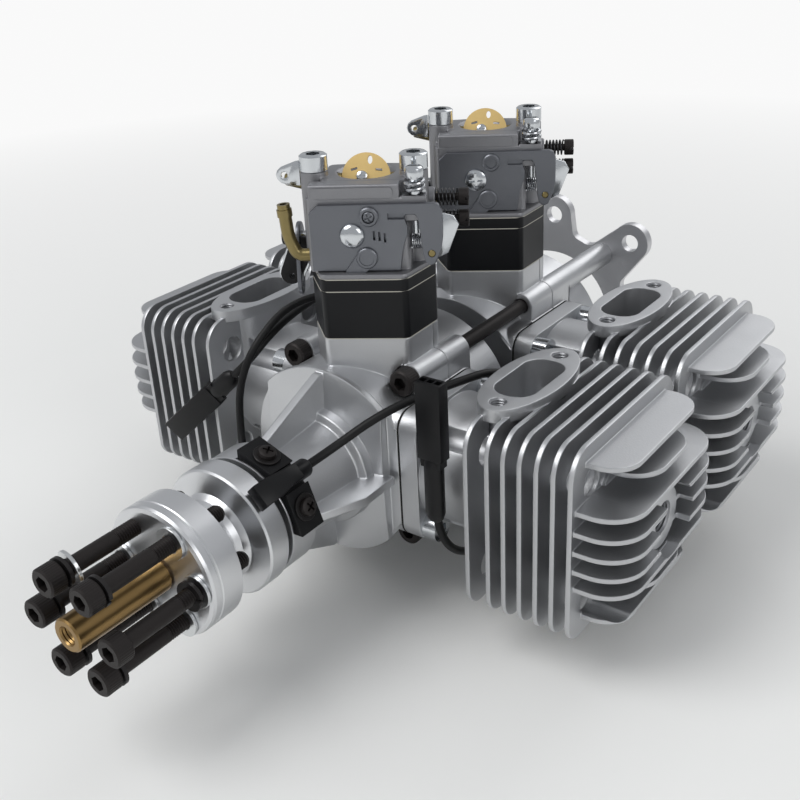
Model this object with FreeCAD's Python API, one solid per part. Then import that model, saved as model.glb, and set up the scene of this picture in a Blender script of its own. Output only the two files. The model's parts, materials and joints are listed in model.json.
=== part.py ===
import FreeCAD, Part
import math
import os

from FreeCAD import Vector as V

os.makedirs("parts", exist_ok=True)

# Flat four-cylinder two-stroke engine made of two boxer twins in line.
# Frame: X to the right-hand cylinder bank, Y from the propeller to the mount plate, Z up.
# The origin is the middle of the mount plate's back face, on the crank axis.

# Driving sizes, in mm
module_pitch = 68.0
rear_split_y = -52.5
stagger = 8.0
bore = 36.0
stroke = 30.0
rod_length = 57.0
slide_clearance = 0.05

# Crankcase
case_depth = 29.5
case_radius = 31.0
cavity_radius = 26.0
cavity_half = 20.1
seat_x = 26.5
seat_half_y = 21.5
seat_half_z = 22.0
seat_corner = 6.0
boss_x = 21.5
boss_z = 27.0
boss_radius = 4.5
boss_front = 15.0
boss_rear = 12.7
boss_web_low_z = 14.0
case_bolt_d = 5.0
bolt_clearance = 0.1
side_clearance = 0.3

# Nose
nose_ring_front_y = -191.8
nose_ring_length = 10.5
nose_ring_radius = 19.5
nose_barrel_front_radius = 15.0
nose_barrel_rear_radius = 17.0
nose_step_radius = 19.5
nose_step_length = 4.5
nose_flange_rise = 1.0
nose_flange_radius = case_radius + nose_flange_rise
nose_flange_flat_x = 22.8
nose_rib_side_x = 26.0
nose_flange_thickness = 3.5
rib_thickness = 3.0

# Bearings and shaft
shaft_radius = 7.5
bearing_outer = 14.0
bearing_width = 7.0
running_gap = 0.05
seal_width = 3.0

# Crank
rod_width = 9.0
web_gap = 0.35
web_radius = 23.5
outer_web = 6.5
pin_radius = 5.5
pin_end_gap = 0.3
coupling_radius = 11.0
coupling_wall_gap = 0.6

# Propeller hub
hub_front_y = -224.3
hub_disc_thickness = 11.5
hub_disc_radius = 20.0
hub_neck_radius = 11.5
hub_neck_length = 11.0
hub_flange_thickness = 8.0
hub_flange_radius = 20.0
magnet_radius = 2.5
prop_bolt_d = 5.0
prop_bolt_circle = 29.0
prop_bolt_count = 6
prop_bolt_reach = 41.7
prop_bolt_tip = 4.5
cap_head_ratio = 1.7
centre_tube_d = 10.0
centre_tube_shank_d = 8.0
centre_tube_relief = 0.6
centre_tube_bore = 5.2
centre_tube_reach = 31.6
centre_tube_depth = 12.0

# Cylinder
gasket = 0.5
flange_thickness = 6.5
spigot_depth = 1.3
spigot_wall = 1.4
barrel_radius = 21.0
fin_first_x = 56.8
fin_first_gap = 6.95
fin_pitch = 5.13
fin_count = 7
fin_thickness = 1.6
bank_gap = 4.0
fin_half_y = (module_pitch - bank_gap) / 2
fin_top_z = 31.2
fin_bottom_z = -29.8
fin_corner = 8.5
fin_low_corner = 6.5
base_bolt_y = 16.5
base_bolt_z = 17.0
base_bolt_d = 5.0
port_x = 60.0
port_top_z = 33.7
port_flange_thickness = 4.2
port_flange_half_y = 23.6
port_flange_half_x = 10.8
port_duct_half_y = 17.0
port_duct_half_x = 9.6
port_duct_low_z = 10.0
port_bolt_spacing = 36.0
port_bolt_d = 5.0
port_half_y = 13.5
port_half_x = 6.5
port_corner = 0.9 * port_half_x
plug_seat_x = 103.3
plug_hole_d = 10.0
plug_boss_radius = 9.5
plug_clear_radius = 11.0
deck_x = 88.0
head_fin_pitch = 6.13
head_fin_count = 9
head_fin_middle_z = 1.5
head_fin_thickness = 1.6
head_fin_reach = 107.6
head_fin_round = 0.66
wrench_y = 21.0
wrench_z = 19.0
wrench_hole_d = 9.0

# Piston
compression_height = 15.0
piston_length = 28.0
piston_wall = 2.6
ring_width = 1.2
ring_depth = 1.0
wrist_pin_radius = 5.0
small_end_radius = 8.0
big_end_radius = 9.4
beam_height = 9.0
beam_width = 5.0

# Intake
intake_x = 2.5
intake_ahead = 7.0
intake_turn = 30.0
hex_a = 12.8
hex_b = 15.6
hex_left = 18.3
hex_right = 20.8
hex_round = 2.5
pedestal_top_z = 40.0
reed_block_top_z = 55.2
insulator_top_z = 59.0
bore_w = 4.5
throat_radius = 7.6
passage_u = 11.0
passage_w = 9.0
passage_shift = 2.5
reed_thickness = 0.5

# Carburettor, in the intake's own frame: u along the screws, w away from the propeller
carb_top_z = 88.2
carb_deck_z = 86.6
carb_ledge_z = 82.6
carb_left_u = -16.5
carb_right_u = 14.0
carb_front_w = -11.4
carb_deck_front_w = -6.6
carb_back_w = 12.8
carb_ear_radius = 4.2
carb_screw_spacing = 30.0
carb_screw_d = 5.0
pump_cover_thickness = 1.8
metering_cover_thickness = 4.0
cover_low_z = 60.8
cover_high_z = 83.1
cover_screw_u = -3.8
cover_screw_z = 71.8
cover_screw_radius = 3.7
venturi_radius = 6.0
inlet_radius = 9.2
choke_z = 84.4
throttle_z = 66.5
butterfly_gap = 0.1
butterfly_thickness = 0.8
carb_shaft_d = 3.2
choke_rest_angle = 68.0
throttle_rest_angle = 8.0
lever_thickness = 1.2
idle_u = 16.0
idle_w = -9.5
idle_spring_radius = 3.2
needle_w = 8.0
needle_high_z = 77.0
needle_low_z = 70.3
needle_boss_radius = 3.2
needle_boss_u = 20.5
needle_spring_length = 7.0
needle_spring_radius = 2.7
return_spring_z = 65.5
spring_wire = 0.8
spring_end_gap = 0.05
nipple_d = 3.9
nipple_bore = 2.2
nipple_w = -8.0
nipple_foot_z = 64.5
nipple_bend_z = 70.0
nipple_top_z = 80.3
nipple_lean = 7.1

# Crank sensors, their clamps and cords
sensor_angles = (45.0, 225.0)
sensor_front_y = -200.3
sensor_length = 20.0
sensor_width = 7.0
sensor_floor = 20.7
sensor_height = 5.6
clamp_inner_gap = 0.05
clamp_thickness = 2.2
clamp_pad_angle = 24.5
clamp_length = 9.6
clamp_half_angle = 43.0
cable_d = 2.6
connector_width = 8.4
connector_depth = 4.6
right_connector_length = 24.5
left_connector_length = 27.0
sleeve_length = 12.0
sleeve_radius = 2.6

# Mount plate
plate_thickness = 4.0
plate_hole_d = 6.5
plate_hole_half = 33.0
plate_mid_hole_z = 40.0
plate_lobe_radius = 7.5
plate_opening_radius = 24.5
plate_ring_radius = 33.0
plate_arm_spread = 1.8
plate_valley_radius = 4.0

front_split_y = rear_split_y - module_pitch
splits = (front_split_y, rear_split_y)
names = ("front", "rear")
crank_throw = stroke / 2
boss_places = [(sx * boss_x, sz * boss_z) for sz in (1, -1) for sx in (1, -1)]


def save(name, shapes):
    if not isinstance(shapes, list):
        shapes = [shapes]
    solids = []
    for shape in shapes:
        solids += shape.removeSplitter().Solids
    item = solids[0] if len(solids) == 1 else Part.makeCompound(solids)
    item.exportStep("parts/" + name + ".step")
    print(name, len(solids), round(sum(s.Volume for s in solids), 1), all(s.isValid() for s in solids))


def rod_x(r, x0, x1, y=0.0, z=0.0):
    return Part.makeCylinder(r, x1 - x0, V(x0, y, z), V(1, 0, 0))


def rod_y(r, y0, y1, x=0.0, z=0.0):
    return Part.makeCylinder(r, y1 - y0, V(x, y0, z), V(0, 1, 0))


def rod_z(r, z0, z1, x=0.0, y=0.0):
    return Part.makeCylinder(r, z1 - z0, V(x, y, z0), V(0, 0, 1))


def box(x0, x1, y0, y1, z0, z1):
    return Part.makeBox(x1 - x0, y1 - y0, z1 - z0, V(x0, y0, z0))


def prism(points, direction):
    closed = [V(*p) for p in points]
    closed.append(closed[0])
    return Part.Face(Part.makePolygon(closed)).extrude(V(*direction))


def turned_y(profile):
    """Solid of revolution about the crank axis from (radius, y) points."""
    closed = [V(r, y, 0) for r, y in profile]
    closed.append(closed[0])
    return Part.Face(Part.makePolygon(closed)).revolve(V(0, 0, 0), V(0, 1, 0), 360)


def fused(shapes):
    return shapes[0].fuse(shapes[1:]) if len(shapes) > 1 else shapes[0]


def rounded(shape, radius, axis):
    """Round the straight edges that run along one axis."""
    picked = []
    for edge in shape.Edges:
        if not isinstance(edge.Curve, Part.Line):
            continue
        along = edge.Vertexes[1].Point.sub(edge.Vertexes[0].Point)
        if along.Length > 1e-6 and abs(abs(along.normalize().dot(axis)) - 1) < 1e-6:
            picked.append(edge)
    return shape.makeFillet(radius, picked)


def cap_screw(d, length, head_at, toward, centre, socket=True):
    """Socket cap screw along Y: head face at head_at, shank toward +Y or -Y."""
    head_r = d * cap_head_ratio / 2
    x, z = centre
    head = Part.makeCylinder(head_r, d, V(x, head_at, z), V(0, toward, 0))
    shank = Part.makeCylinder(d / 2, length + d / 2, V(x, head_at + toward * d / 2, z), V(0, toward, 0))
    screw = head.fuse(shank)
    if socket:
        screw = screw.cut(hex_socket(d, V(x, head_at, z), V(0, toward, 0)))
    return screw


def hex_socket(d, place, direction):
    across = d * 0.8
    corner = across / math.sqrt(3)
    points = []
    for i in range(6):
        a = math.radians(60 * i)
        points.append(V(corner * math.cos(a), corner * math.sin(a), 0))
    points.append(points[0])
    tool = Part.Face(Part.makePolygon(points)).extrude(V(0, 0, d * 0.5))
    tool.Placement = FreeCAD.Placement(place, FreeCAD.Rotation(V(0, 0, 1), direction))
    return tool


def intake_frame(shape, split_y):
    """Move a shape from the intake's own frame (u, w, z) onto its module."""
    moved = shape.copy()
    moved.rotate(V(0, 0, 0), V(0, 0, 1), intake_turn)
    moved.translate(V(intake_x, split_y - intake_ahead, 0))
    return moved


def hex_block(z0, z1):
    points = [(hex_a, -hex_b), (hex_right, 0), (hex_a, hex_b), (-hex_a, hex_b), (-hex_left, 0), (-hex_a, -hex_b)]
    block = prism([(u, w, z0) for u, w in points], (0, 0, z1 - z0))
    return rounded(block, hex_round, V(0, 0, 1))


# Crankcase halves

def case_body(split_y, front):
    """One crankcase half, before the nose or rear end is added."""
    y0 = split_y - case_depth if front else split_y
    y1 = split_y if front else split_y + case_depth
    shapes = [rod_y(case_radius, y0, y1)]
    for side in (1, -1):
        centre = split_y - side * stagger
        x0 = min(0, side * seat_x)
        x1 = max(0, side * seat_x)
        seat = box(x0, x1, centre - seat_half_y, centre + seat_half_y, -seat_half_z, seat_half_z)
        shapes.append(rounded(seat, seat_corner, V(1, 0, 0)))
    shapes.append(intake_frame(hex_block(0, pedestal_top_z), split_y))
    for x, z in boss_places:
        shapes += boss(split_y, x, z)
    whole = fused(shapes)
    half = whole.common(box(-60, 60, y0 - 1 if front else y0, y1 if front else max(y1, boss_end(split_y)), -60, 60))
    half = half.cut(rod_y(cavity_radius, split_y - cavity_half, split_y + cavity_half))
    for side in (1, -1):
        centre = split_y - side * stagger
        bore_r = bore / 2 + spigot_wall + running_gap
        x0 = min(0, side * (seat_x + 1))
        x1 = max(0, side * (seat_x + 1))
        half = half.cut(rod_x(bore_r, x0, x1, centre))
    passage = box(-passage_u, passage_u, passage_shift - passage_w, passage_shift + passage_w, 0, pedestal_top_z + 1)
    half = half.cut(intake_frame(passage, split_y))
    for x, z in boss_places:
        half = half.cut(rod_y(case_bolt_d / 2 + bolt_clearance, y0 - boss_front, boss_end(split_y) + 1, x, z))
    return half


def boss_end(split_y):
    """Rear end of a module's bolt bosses; the rear module's reach back to the mount plate."""
    return -plate_thickness if split_y == rear_split_y else split_y + boss_rear


def boss(split_y, x, z):
    """Round bolt boss along Y, with the web that ties it to the case."""
    z0, z1 = sorted((math.copysign(boss_web_low_z, z), z))
    web = box(x - boss_radius, x + boss_radius, split_y - boss_front, split_y + boss_rear, z0, z1)
    return [web, rod_y(boss_radius, split_y - boss_front, boss_end(split_y), x, z)]


def head_room(x, z):
    """Space in front of a boss for the head of its bolt."""
    face = front_split_y - boss_front
    return rod_y(case_bolt_d * cap_head_ratio / 2 + side_clearance, face - case_bolt_d - 1, face, x, z)


def cylinder_seats(half, split_y):
    """Trim a finished case half back to the two faces that carry the cylinders."""
    for side in (1, -1):
        centre = split_y - side * stagger
        x0, x1 = sorted((side * seat_x, side * 60))
        y0 = centre - seat_half_y - side_clearance
        y1 = centre + seat_half_y + side_clearance
        half = half.cut(box(x0, x1, y0, y1, -60, 60))
    return half


def bearing_bore(y0, y1):
    return rod_y(bearing_outer, y0, y1)


def nose():
    y0 = nose_ring_front_y
    y1 = y0 + nose_ring_length
    y3 = front_split_y - case_depth
    y2 = y3 - nose_step_length - nose_flange_thickness
    profile = [(0, y0), (nose_ring_radius, y0), (nose_ring_radius, y1),
               (nose_barrel_front_radius, y1 + 2), (nose_barrel_rear_radius, y2),
               (nose_step_radius, y2 + 1), (nose_step_radius, y2 + nose_step_length),
               (nose_flange_radius - 5, y2 + nose_step_length + 0.5),
               (nose_flange_radius, y2 + nose_step_length + 1), (nose_flange_radius, y3), (0, y3)]
    body = turned_y(profile).common(nose_span(nose_flange_flat_x, y3))
    rib_y = y3 - nose_flange_thickness
    rib = prism([(0, y1 - 4, -rib_thickness / 2), (nose_ring_radius - 0.5, y1 - 1, -rib_thickness / 2),
                 (nose_flange_radius - 1, rib_y - 1, -rib_thickness / 2),
                 (nose_flange_radius - 1, rib_y + 2, -rib_thickness / 2),
                 (0, rib_y + 2, -rib_thickness / 2)], (0, 0, rib_thickness))
    shapes = [body]
    for i in range(4):
        turned = rib.copy()
        turned.rotate(V(0, 0, 0), V(0, 1, 0), 90 * i)
        shapes.append(turned.common(nose_span(nose_rib_side_x, y3)))
    return fused(shapes)


def nose_span(half_x, rear_y):
    """Block that holds the nose and is as wide as its flange may reach sideways."""
    reach = nose_flange_radius + 1
    return box(-half_x, half_x, nose_ring_front_y - 1, rear_y + 1, -reach, reach)


def front_case_nose_half():
    half = case_body(front_split_y, True).fuse(nose())
    for x, z in boss_places:
        half = half.cut(head_room(x, z))
    inner = front_split_y - cavity_half
    half = half.cut(bearing_bore(inner - bearing_width, inner + 1))
    half = half.cut(bearing_bore(nose_ring_front_y - 1, nose_ring_front_y + seal_width + bearing_width))
    half = half.cut(rod_y(shaft_radius + 2, nose_ring_front_y - 1, inner + 1))
    return cylinder_seats(half, front_split_y)


def front_case_rear_half():
    half = case_body(front_split_y, False)
    inner = front_split_y + cavity_half
    half = half.cut(bearing_bore(inner - 1, inner + bearing_width))
    half = half.cut(rod_y(shaft_radius + 2, inner - 1, inner + 20))
    return cylinder_seats(half, front_split_y)


def rear_case_front_half():
    half = case_body(rear_split_y, True)
    inner = rear_split_y - cavity_half
    half = half.cut(bearing_bore(inner - bearing_width, inner + 1))
    half = half.cut(rod_y(shaft_radius + 2, inner - 20, inner + 1))
    return cylinder_seats(half, rear_split_y)


def rear_case_rear_half():
    half = case_body(rear_split_y, False)
    inner = rear_split_y + cavity_half
    end = rear_split_y + case_depth
    half = half.fuse(rod_y(bearing_outer + 4, end - 1, end + 3))
    half = half.cut(bearing_bore(inner - 1, inner + bearing_width + 1))
    return cylinder_seats(half, rear_split_y)


def bearing(y0):
    outer = rod_y(bearing_outer - 0.01, y0, y0 + bearing_width)
    ring = outer.cut(rod_y(shaft_radius + 0.01, y0 - 1, y0 + bearing_width + 1))
    for y in (y0 - 0.4, y0 + bearing_width - 0.4):
        groove = rod_y(bearing_outer - 1.8, y, y + 0.8).cut(rod_y(shaft_radius + 1.8, y - 1, y + 2))
        ring = ring.cut(groove)
    return ring


def main_bearings():
    rings = [bearing(nose_ring_front_y + seal_width)]
    for split_y in splits:
        rings.append(bearing(split_y - cavity_half - bearing_width))
        rings.append(bearing(split_y + cavity_half))
    return rings


def crank_seals():
    y0 = nose_ring_front_y
    ring = rod_y(bearing_outer - 0.02, y0, y0 + seal_width - 0.05)
    return [ring.cut(rod_y(shaft_radius + running_gap, y0 - 1, y0 + seal_width + 1))]


# Crankshafts, pistons and rods

def crank_webs(split_y):
    inner = rod_width / 2 + web_gap
    middle = stagger - inner
    outer = stagger + inner
    front = rod_y(web_radius, split_y - outer - outer_web, split_y - outer)
    centre = rod_y(web_radius, split_y - middle, split_y + middle)
    rear = rod_y(web_radius, split_y + outer, split_y + outer + outer_web)
    return front, centre, rear


def front_crankshaft():
    front, centre, rear = crank_webs(front_split_y)
    y0 = hub_front_y + 3
    nose_shaft = rod_y(shaft_radius, y0, front_split_y - stagger - rod_width / 2 - 1)
    nose_shaft = nose_shaft.cut(rod_y(centre_tube_shank_d / 2 + 0.02, y0 - 1, hub_front_y + centre_tube_depth))
    tail = rod_y(shaft_radius, front_split_y + stagger + rod_width / 2 + 1, gap_middle() - coupling_wall_gap / 2)
    return [front.fuse(nose_shaft), centre, rear.fuse(tail)]


def rear_crankshaft():
    front, centre, rear = crank_webs(rear_split_y)
    head = rod_y(shaft_radius, gap_middle() + coupling_wall_gap / 2, rear_split_y - stagger - rod_width / 2 - 1)
    end = rear_split_y + cavity_half + bearing_width
    tail = rod_y(shaft_radius, rear_split_y + stagger + rod_width / 2 + 1, end)
    return [front.fuse(head), centre, rear.fuse(tail)]


def gap_middle():
    return (front_split_y + rear_split_y) / 2


def crank_coupling():
    half = module_pitch / 2 - case_depth - coupling_wall_gap
    sleeve = rod_y(coupling_radius, gap_middle() - half, gap_middle() + half)
    return sleeve.cut(rod_y(shaft_radius + 0.02, gap_middle() - half - 1, gap_middle() + half + 1))


def piston(split_y, side, top_dead):
    """Piston with its skirt toward the crank, at one end of its stroke."""
    pin_x = crank_throw if top_dead else -crank_throw
    wrist_x = pin_x + rod_length
    crown = wrist_x + compression_height
    r = bore / 2 - slide_clearance
    body = rod_x(r, crown - piston_length, crown)
    body = body.cut(rod_x(r - piston_wall, crown - piston_length - 1, crown - 5))
    hub = Part.makeCylinder(wrist_pin_radius + 3, 2 * r, V(wrist_x, -r, 0), V(0, 1, 0))
    hub = hub.common(rod_x(r - 0.5, crown - piston_length, crown))
    gap = box(crown - piston_length - 1, crown, -rod_width / 2 - 0.4, rod_width / 2 + 0.4, -r, r)
    body = body.fuse(hub.cut(gap))
    body = body.cut(Part.makeCylinder(wrist_pin_radius, 2 * bore, V(wrist_x, -bore, 0), V(0, 1, 0)))
    for offset in (2.0, 5.0):
        x = crown - offset - ring_width
        groove = rod_x(r + 1, x, x + ring_width).cut(rod_x(r - ring_depth, x - 1, x + ring_width + 1))
        body = body.cut(groove)
    return place_side(body, split_y, side)


def rod(split_y, side, top_dead):
    """Connecting rod with its wrist pin and crank pin."""
    pin_x = crank_throw if top_dead else -crank_throw
    wrist_x = pin_x + rod_length
    half = rod_width / 2
    big = rod_y(big_end_radius, -half, half, pin_x)
    small = rod_y(small_end_radius, -half, half, wrist_x)
    beam = box(pin_x, wrist_x, -beam_width / 2, beam_width / 2, -beam_height / 2, beam_height / 2)
    body = fused([big, small, beam])
    body = body.cut(rod_y(pin_radius, -half - 1, half + 1, pin_x))
    body = body.cut(rod_y(wrist_pin_radius, -half - 1, half + 1, wrist_x))
    pin_half = half + web_gap - pin_end_gap
    crank_pin = rod_y(pin_radius - 0.01, -pin_half, pin_half, pin_x)
    wrist_half = bore / 2 - 1.5
    wrist_pin = rod_y(wrist_pin_radius - 0.01, -wrist_half, wrist_half, wrist_x)
    wrist_pin = wrist_pin.cut(rod_y(wrist_pin_radius - 2, -wrist_half - 1, wrist_half + 1, wrist_x))
    return [place_side(s, split_y, side) for s in (body, crank_pin, wrist_pin)]


def place_side(shape, split_y, side):
    placed = shape.copy()
    if side < 0:
        placed.rotate(V(0, 0, 0), V(0, 0, 1), 180)
    placed.translate(V(0, split_y - side * stagger, 0))
    return placed


# Cylinders

def fin_places():
    return [fin_first_x] + [fin_first_x + fin_first_gap + i * fin_pitch for i in range(fin_count - 1)]


def oval(half_x, half_y, z0, z1):
    """Elliptic block on the exhaust port's axis."""
    curve = Part.Ellipse(V(0, 0, 0), half_y, half_x).toShape()
    block = Part.Face(Part.Wire(curve)).extrude(V(0, 0, z1 - z0))
    block.rotate(V(0, 0, 0), V(0, 0, 1), 90)
    block.translate(V(port_x, 0, z0))
    return block


def port_flange():
    z0 = port_top_z - port_flange_thickness
    flange = oval(port_flange_half_x, port_flange_half_y, z0, port_top_z)
    return flange.fuse(oval(port_duct_half_x, port_duct_half_y, port_duct_low_z, z0 + 0.5))


def port_passage():
    passage = box(port_x - port_half_x, port_x + port_half_x, -port_half_y, port_half_y, 0, port_top_z + 1)
    return rounded(passage, port_corner, V(0, 0, 1))


def head_fins():
    base = fin_places()[-1]
    rise = (head_fin_count - 1) / 2 * head_fin_pitch
    fins = []
    for i in range(head_fin_count):
        z = (i - (head_fin_count - 1) / 2) * head_fin_pitch
        share = (z / rise) ** 2
        half = fin_half_y - 0.6 - 6.0 * share ** 1.5
        if i in (1, head_fin_count - 2):
            half = wrench_y - wrench_hole_d / 2 - 1.0
        reach = head_fin_reach - 4.5 * share ** 1.5
        z0 = head_fin_middle_z + z - head_fin_thickness / 2
        fin = box(base, reach, -half, half, z0, z0 + head_fin_thickness)
        outer = [e for e in fin.Edges if abs(e.BoundBox.XMin - reach) < 1e-6 and e.BoundBox.ZLength > 1]
        fins.append(fin.makeFillet(head_fin_round * min(reach - base, half), outer))
    return fins


def upright_fin(x):
    fin = box(x, x + fin_thickness, -fin_half_y, fin_half_y, fin_bottom_z, fin_top_z)
    fin = fin.makeFillet(fin_corner, corner_edges(fin, fin_top_z))
    return fin.makeFillet(fin_low_corner, corner_edges(fin, fin_bottom_z))


def corner_edges(fin, z):
    """Edges along X at one height."""
    return [e for e in fin.Edges if e.BoundBox.XLength > 1 and e.BoundBox.YLength < 0.1
            and abs(e.BoundBox.ZMin - z) < 0.1 and e.BoundBox.ZLength < 0.1]


def cylinder_shape():
    x0 = seat_x + gasket
    bore_r = bore / 2
    flange = box(x0, x0 + flange_thickness, -seat_half_y, seat_half_y, -seat_half_z, seat_half_z)
    shapes = [rounded(flange, seat_corner, V(1, 0, 0))]
    shapes.append(rod_x(bore_r + spigot_wall, seat_x - spigot_depth, x0 + 1))
    shapes.append(rod_x(barrel_radius, x0 + 1, deck_x + 4))
    shapes += [upright_fin(x) for x in fin_places()]
    shapes += head_fins()
    shapes.append(rod_x(plug_boss_radius, deck_x, plug_seat_x))
    shapes.append(port_flange())
    body = fused(shapes)
    body = body.cut(rod_x(bore_r, seat_x - spigot_depth - 1, deck_x))
    dome = Part.makeSphere(bore_r * 1.25, V(deck_x - bore_r * 1.25 + 4.5, 0, 0))
    body = body.cut(dome.common(rod_x(bore_r, deck_x - 1, deck_x + 5)))
    body = body.cut(rod_x(plug_hole_d / 2, deck_x - 2, plug_seat_x + 1))
    body = body.cut(rod_x(plug_clear_radius, plug_seat_x, head_fin_reach + 1))
    body = body.cut(port_passage())
    for sy in (1, -1):
        depth = port_top_z - 11
        body = body.cut(rod_z(port_bolt_d / 2, depth, port_top_z + 1, port_x, sy * port_bolt_spacing / 2))
        for sz in (1, -1):
            y, z = sy * base_bolt_y, sz * base_bolt_z
            body = body.cut(rod_x(base_bolt_d / 2 + bolt_clearance, x0 - 1, x0 + flange_thickness + 1, y, z))
            body = body.cut(rod_x(base_bolt_d * cap_head_ratio / 2 + 0.4, x0 + flange_thickness, fin_first_x - 2, y, z))
            body = body.cut(rod_x(wrench_hole_d / 2, fin_first_x - 2, head_fin_reach, sy * wrench_y, sz * wrench_z))
    return body


def base_gasket():
    plate = box(seat_x, seat_x + gasket, -seat_half_y, seat_half_y, -seat_half_z, seat_half_z)
    plate = rounded(plate, seat_corner, V(1, 0, 0))
    plate = plate.cut(rod_x(bore / 2 + spigot_wall + running_gap, seat_x - 1, seat_x + 2))
    for sy in (1, -1):
        for sz in (1, -1):
            hole = rod_x(base_bolt_d / 2 + bolt_clearance, seat_x - 1, seat_x + 2, sy * base_bolt_y, sz * base_bolt_z)
            plate = plate.cut(hole)
    return plate


def base_bolts():
    bolts = []
    face = seat_x + gasket + flange_thickness
    for sy in (1, -1):
        for sz in (1, -1):
            y, z = sy * base_bolt_y, sz * base_bolt_z
            head = rod_x(base_bolt_d * cap_head_ratio / 2, face, face + base_bolt_d, y, z)
            head = head.cut(hex_socket(base_bolt_d, V(face + base_bolt_d, y, z), V(-1, 0, 0)))
            bolts.append(head.fuse(rod_x(base_bolt_d / 2, seat_x, face + 1, y, z)))
    return bolts


# Hub and propeller fixings

def prop_hub():
    y0 = hub_front_y
    y1 = y0 + hub_disc_thickness
    y2 = y1 + hub_neck_length
    y3 = y2 + hub_flange_thickness
    r, n, f = hub_disc_radius, hub_neck_radius, hub_flange_radius
    bore_r = shaft_radius + 0.02
    tube_r = centre_tube_shank_d / 2 + 0.02
    profile = [(tube_r, y0), (r - 1.2, y0), (r, y0 + 1.2), (r, y0 + 3.0), (r - 0.6, y0 + 3.3), (r - 0.6, y0 + 3.9),
               (r, y0 + 4.2), (r, y1 - 0.8), (r - 0.8, y1), (n + 3, y1), (n, y1 + 2.5), (n, y2 - 4),
               (n + 2, y2 - 1.5), (f - 3, y2), (f, y2 + 1), (f, y3 - 0.5), (f - 0.5, y3),
               (bore_r, y3), (bore_r, y0 + 3), (tube_r, y0 + 3)]
    hub = turned_y(profile)
    for i in range(prop_bolt_count):
        x, z = prop_bolt_place(i)
        hub = hub.cut(rod_y(prop_bolt_d / 2 + 0.02, y0 - 1, y1 + prop_bolt_tip + 1, x, z))
    magnet_y = y2 + hub_flange_thickness / 2
    hub = hub.cut(magnet_rod(magnet_y, magnet_radius + 0.02))
    return hub


def prop_bolt_place(i):
    a = math.radians(60 * i)
    return prop_bolt_circle / 2 * math.cos(a), prop_bolt_circle / 2 * math.sin(a)


def magnet_rod(y, r):
    a = math.radians(-20)
    out = V(math.cos(a), 0, math.sin(a))
    start = V(0, y, 0).add(out * (hub_flange_radius - 4))
    return Part.makeCylinder(r, 3.7, start, out)


def hub_magnet():
    y = hub_front_y + hub_disc_thickness + hub_neck_length + hub_flange_thickness / 2
    return magnet_rod(y, magnet_radius)


def bolt_head_y():
    return hub_front_y + hub_disc_thickness + prop_bolt_tip - prop_bolt_reach - prop_bolt_d


def prop_bolts():
    screws = []
    for i in range(prop_bolt_count):
        screws.append(cap_screw(prop_bolt_d, prop_bolt_reach, bolt_head_y(), 1, prop_bolt_place(i)))
    return screws


def washer(i, y, outer, thickness, split):
    x, z = prop_bolt_place(i)
    ring = rod_y(outer, y, y + thickness, x, z).cut(rod_y(prop_bolt_d / 2 + 0.1, y - 1, y + thickness + 1, x, z))
    if split:
        ring = ring.cut(box(x, x + outer + 1, y - 1, y + thickness + 1, z - 0.3, z + 0.3))
    return ring


# Distance of each lock washer and flat washer behind its bolt head's seat, bolt by bolt
lock_washer_gap = (22.0, 0.2, 0.4, 0.2, 0.3, 0.2)
flat_washer_gap = (26.0, 26.0, 3.5, 26.0, 26.0, 26.0)


def lock_washers():
    seat = bolt_head_y() + prop_bolt_d
    return [washer(i, seat + g, 4.4, 1.3, True) for i, g in enumerate(lock_washer_gap)]


def flat_washers():
    seat = bolt_head_y() + prop_bolt_d
    limit = hub_front_y - 1.05
    return [washer(i, min(seat + g, limit), 4.9, 1.0, False) for i, g in enumerate(flat_washer_gap)]


def centre_tube():
    y0 = hub_front_y - centre_tube_reach
    y1 = hub_front_y - centre_tube_relief
    tube = rod_y(centre_tube_d / 2, y0, y1)
    tube = tube.fuse(rod_y(centre_tube_shank_d / 2, y0 + 1, hub_front_y + centre_tube_depth - 0.1))
    return tube.cut(rod_y(centre_tube_bore / 2, y0 - 1, y0 + 20))


# Mount plate and long bolts

def mount_plate():
    y0 = -plate_thickness
    lobes = [(sx * plate_hole_half, sz * plate_hole_half) for sx in (1, -1) for sz in (1, -1)]
    lobes += [(0, plate_mid_hole_z), (0, -plate_mid_hole_z)]
    shapes = [rod_y(plate_ring_radius, y0, 0)]
    for x, z in lobes:
        shapes.append(rod_y(plate_lobe_radius, y0, 0, x, z))
        length = math.hypot(x, z)
        nx, nz = -z / length * plate_lobe_radius, x / length * plate_lobe_radius
        rx, rz = nx * plate_arm_spread, nz * plate_arm_spread
        arm = prism([(rx, y0, rz), (x + nx, y0, z + nz), (x - nx, y0, z - nz), (-rx, y0, -rz)], (0, plate_thickness, 0))
        shapes.append(arm)
    plate = fused(shapes).removeSplitter()
    plate = plate.makeFillet(plate_valley_radius, valley_edges(plate))
    plate = plate.cut(rod_y(plate_opening_radius, y0 - 1, 1))
    for x, z in lobes:
        plate = plate.cut(rod_y(plate_hole_d / 2, y0 - 1, 1, x, z))
    for x, z in boss_places:
        plate = plate.cut(rod_y(case_bolt_d / 2 + bolt_clearance, y0 - 1, 1, x, z))
    return plate


def valley_edges(plate):
    """Edges through the plate where its outline turns inward, between two lobes."""
    picked = []
    for edge in plate.Edges:
        ends = [v.Point for v in edge.Vertexes]
        if len(ends) == 2 and abs(abs(ends[0].y - ends[1].y) - plate_thickness) < 1e-6:
            reach = math.hypot(ends[0].x, ends[0].z)
            if abs(reach - plate_ring_radius) < 0.5:
                picked.append(edge)
    return picked


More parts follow.
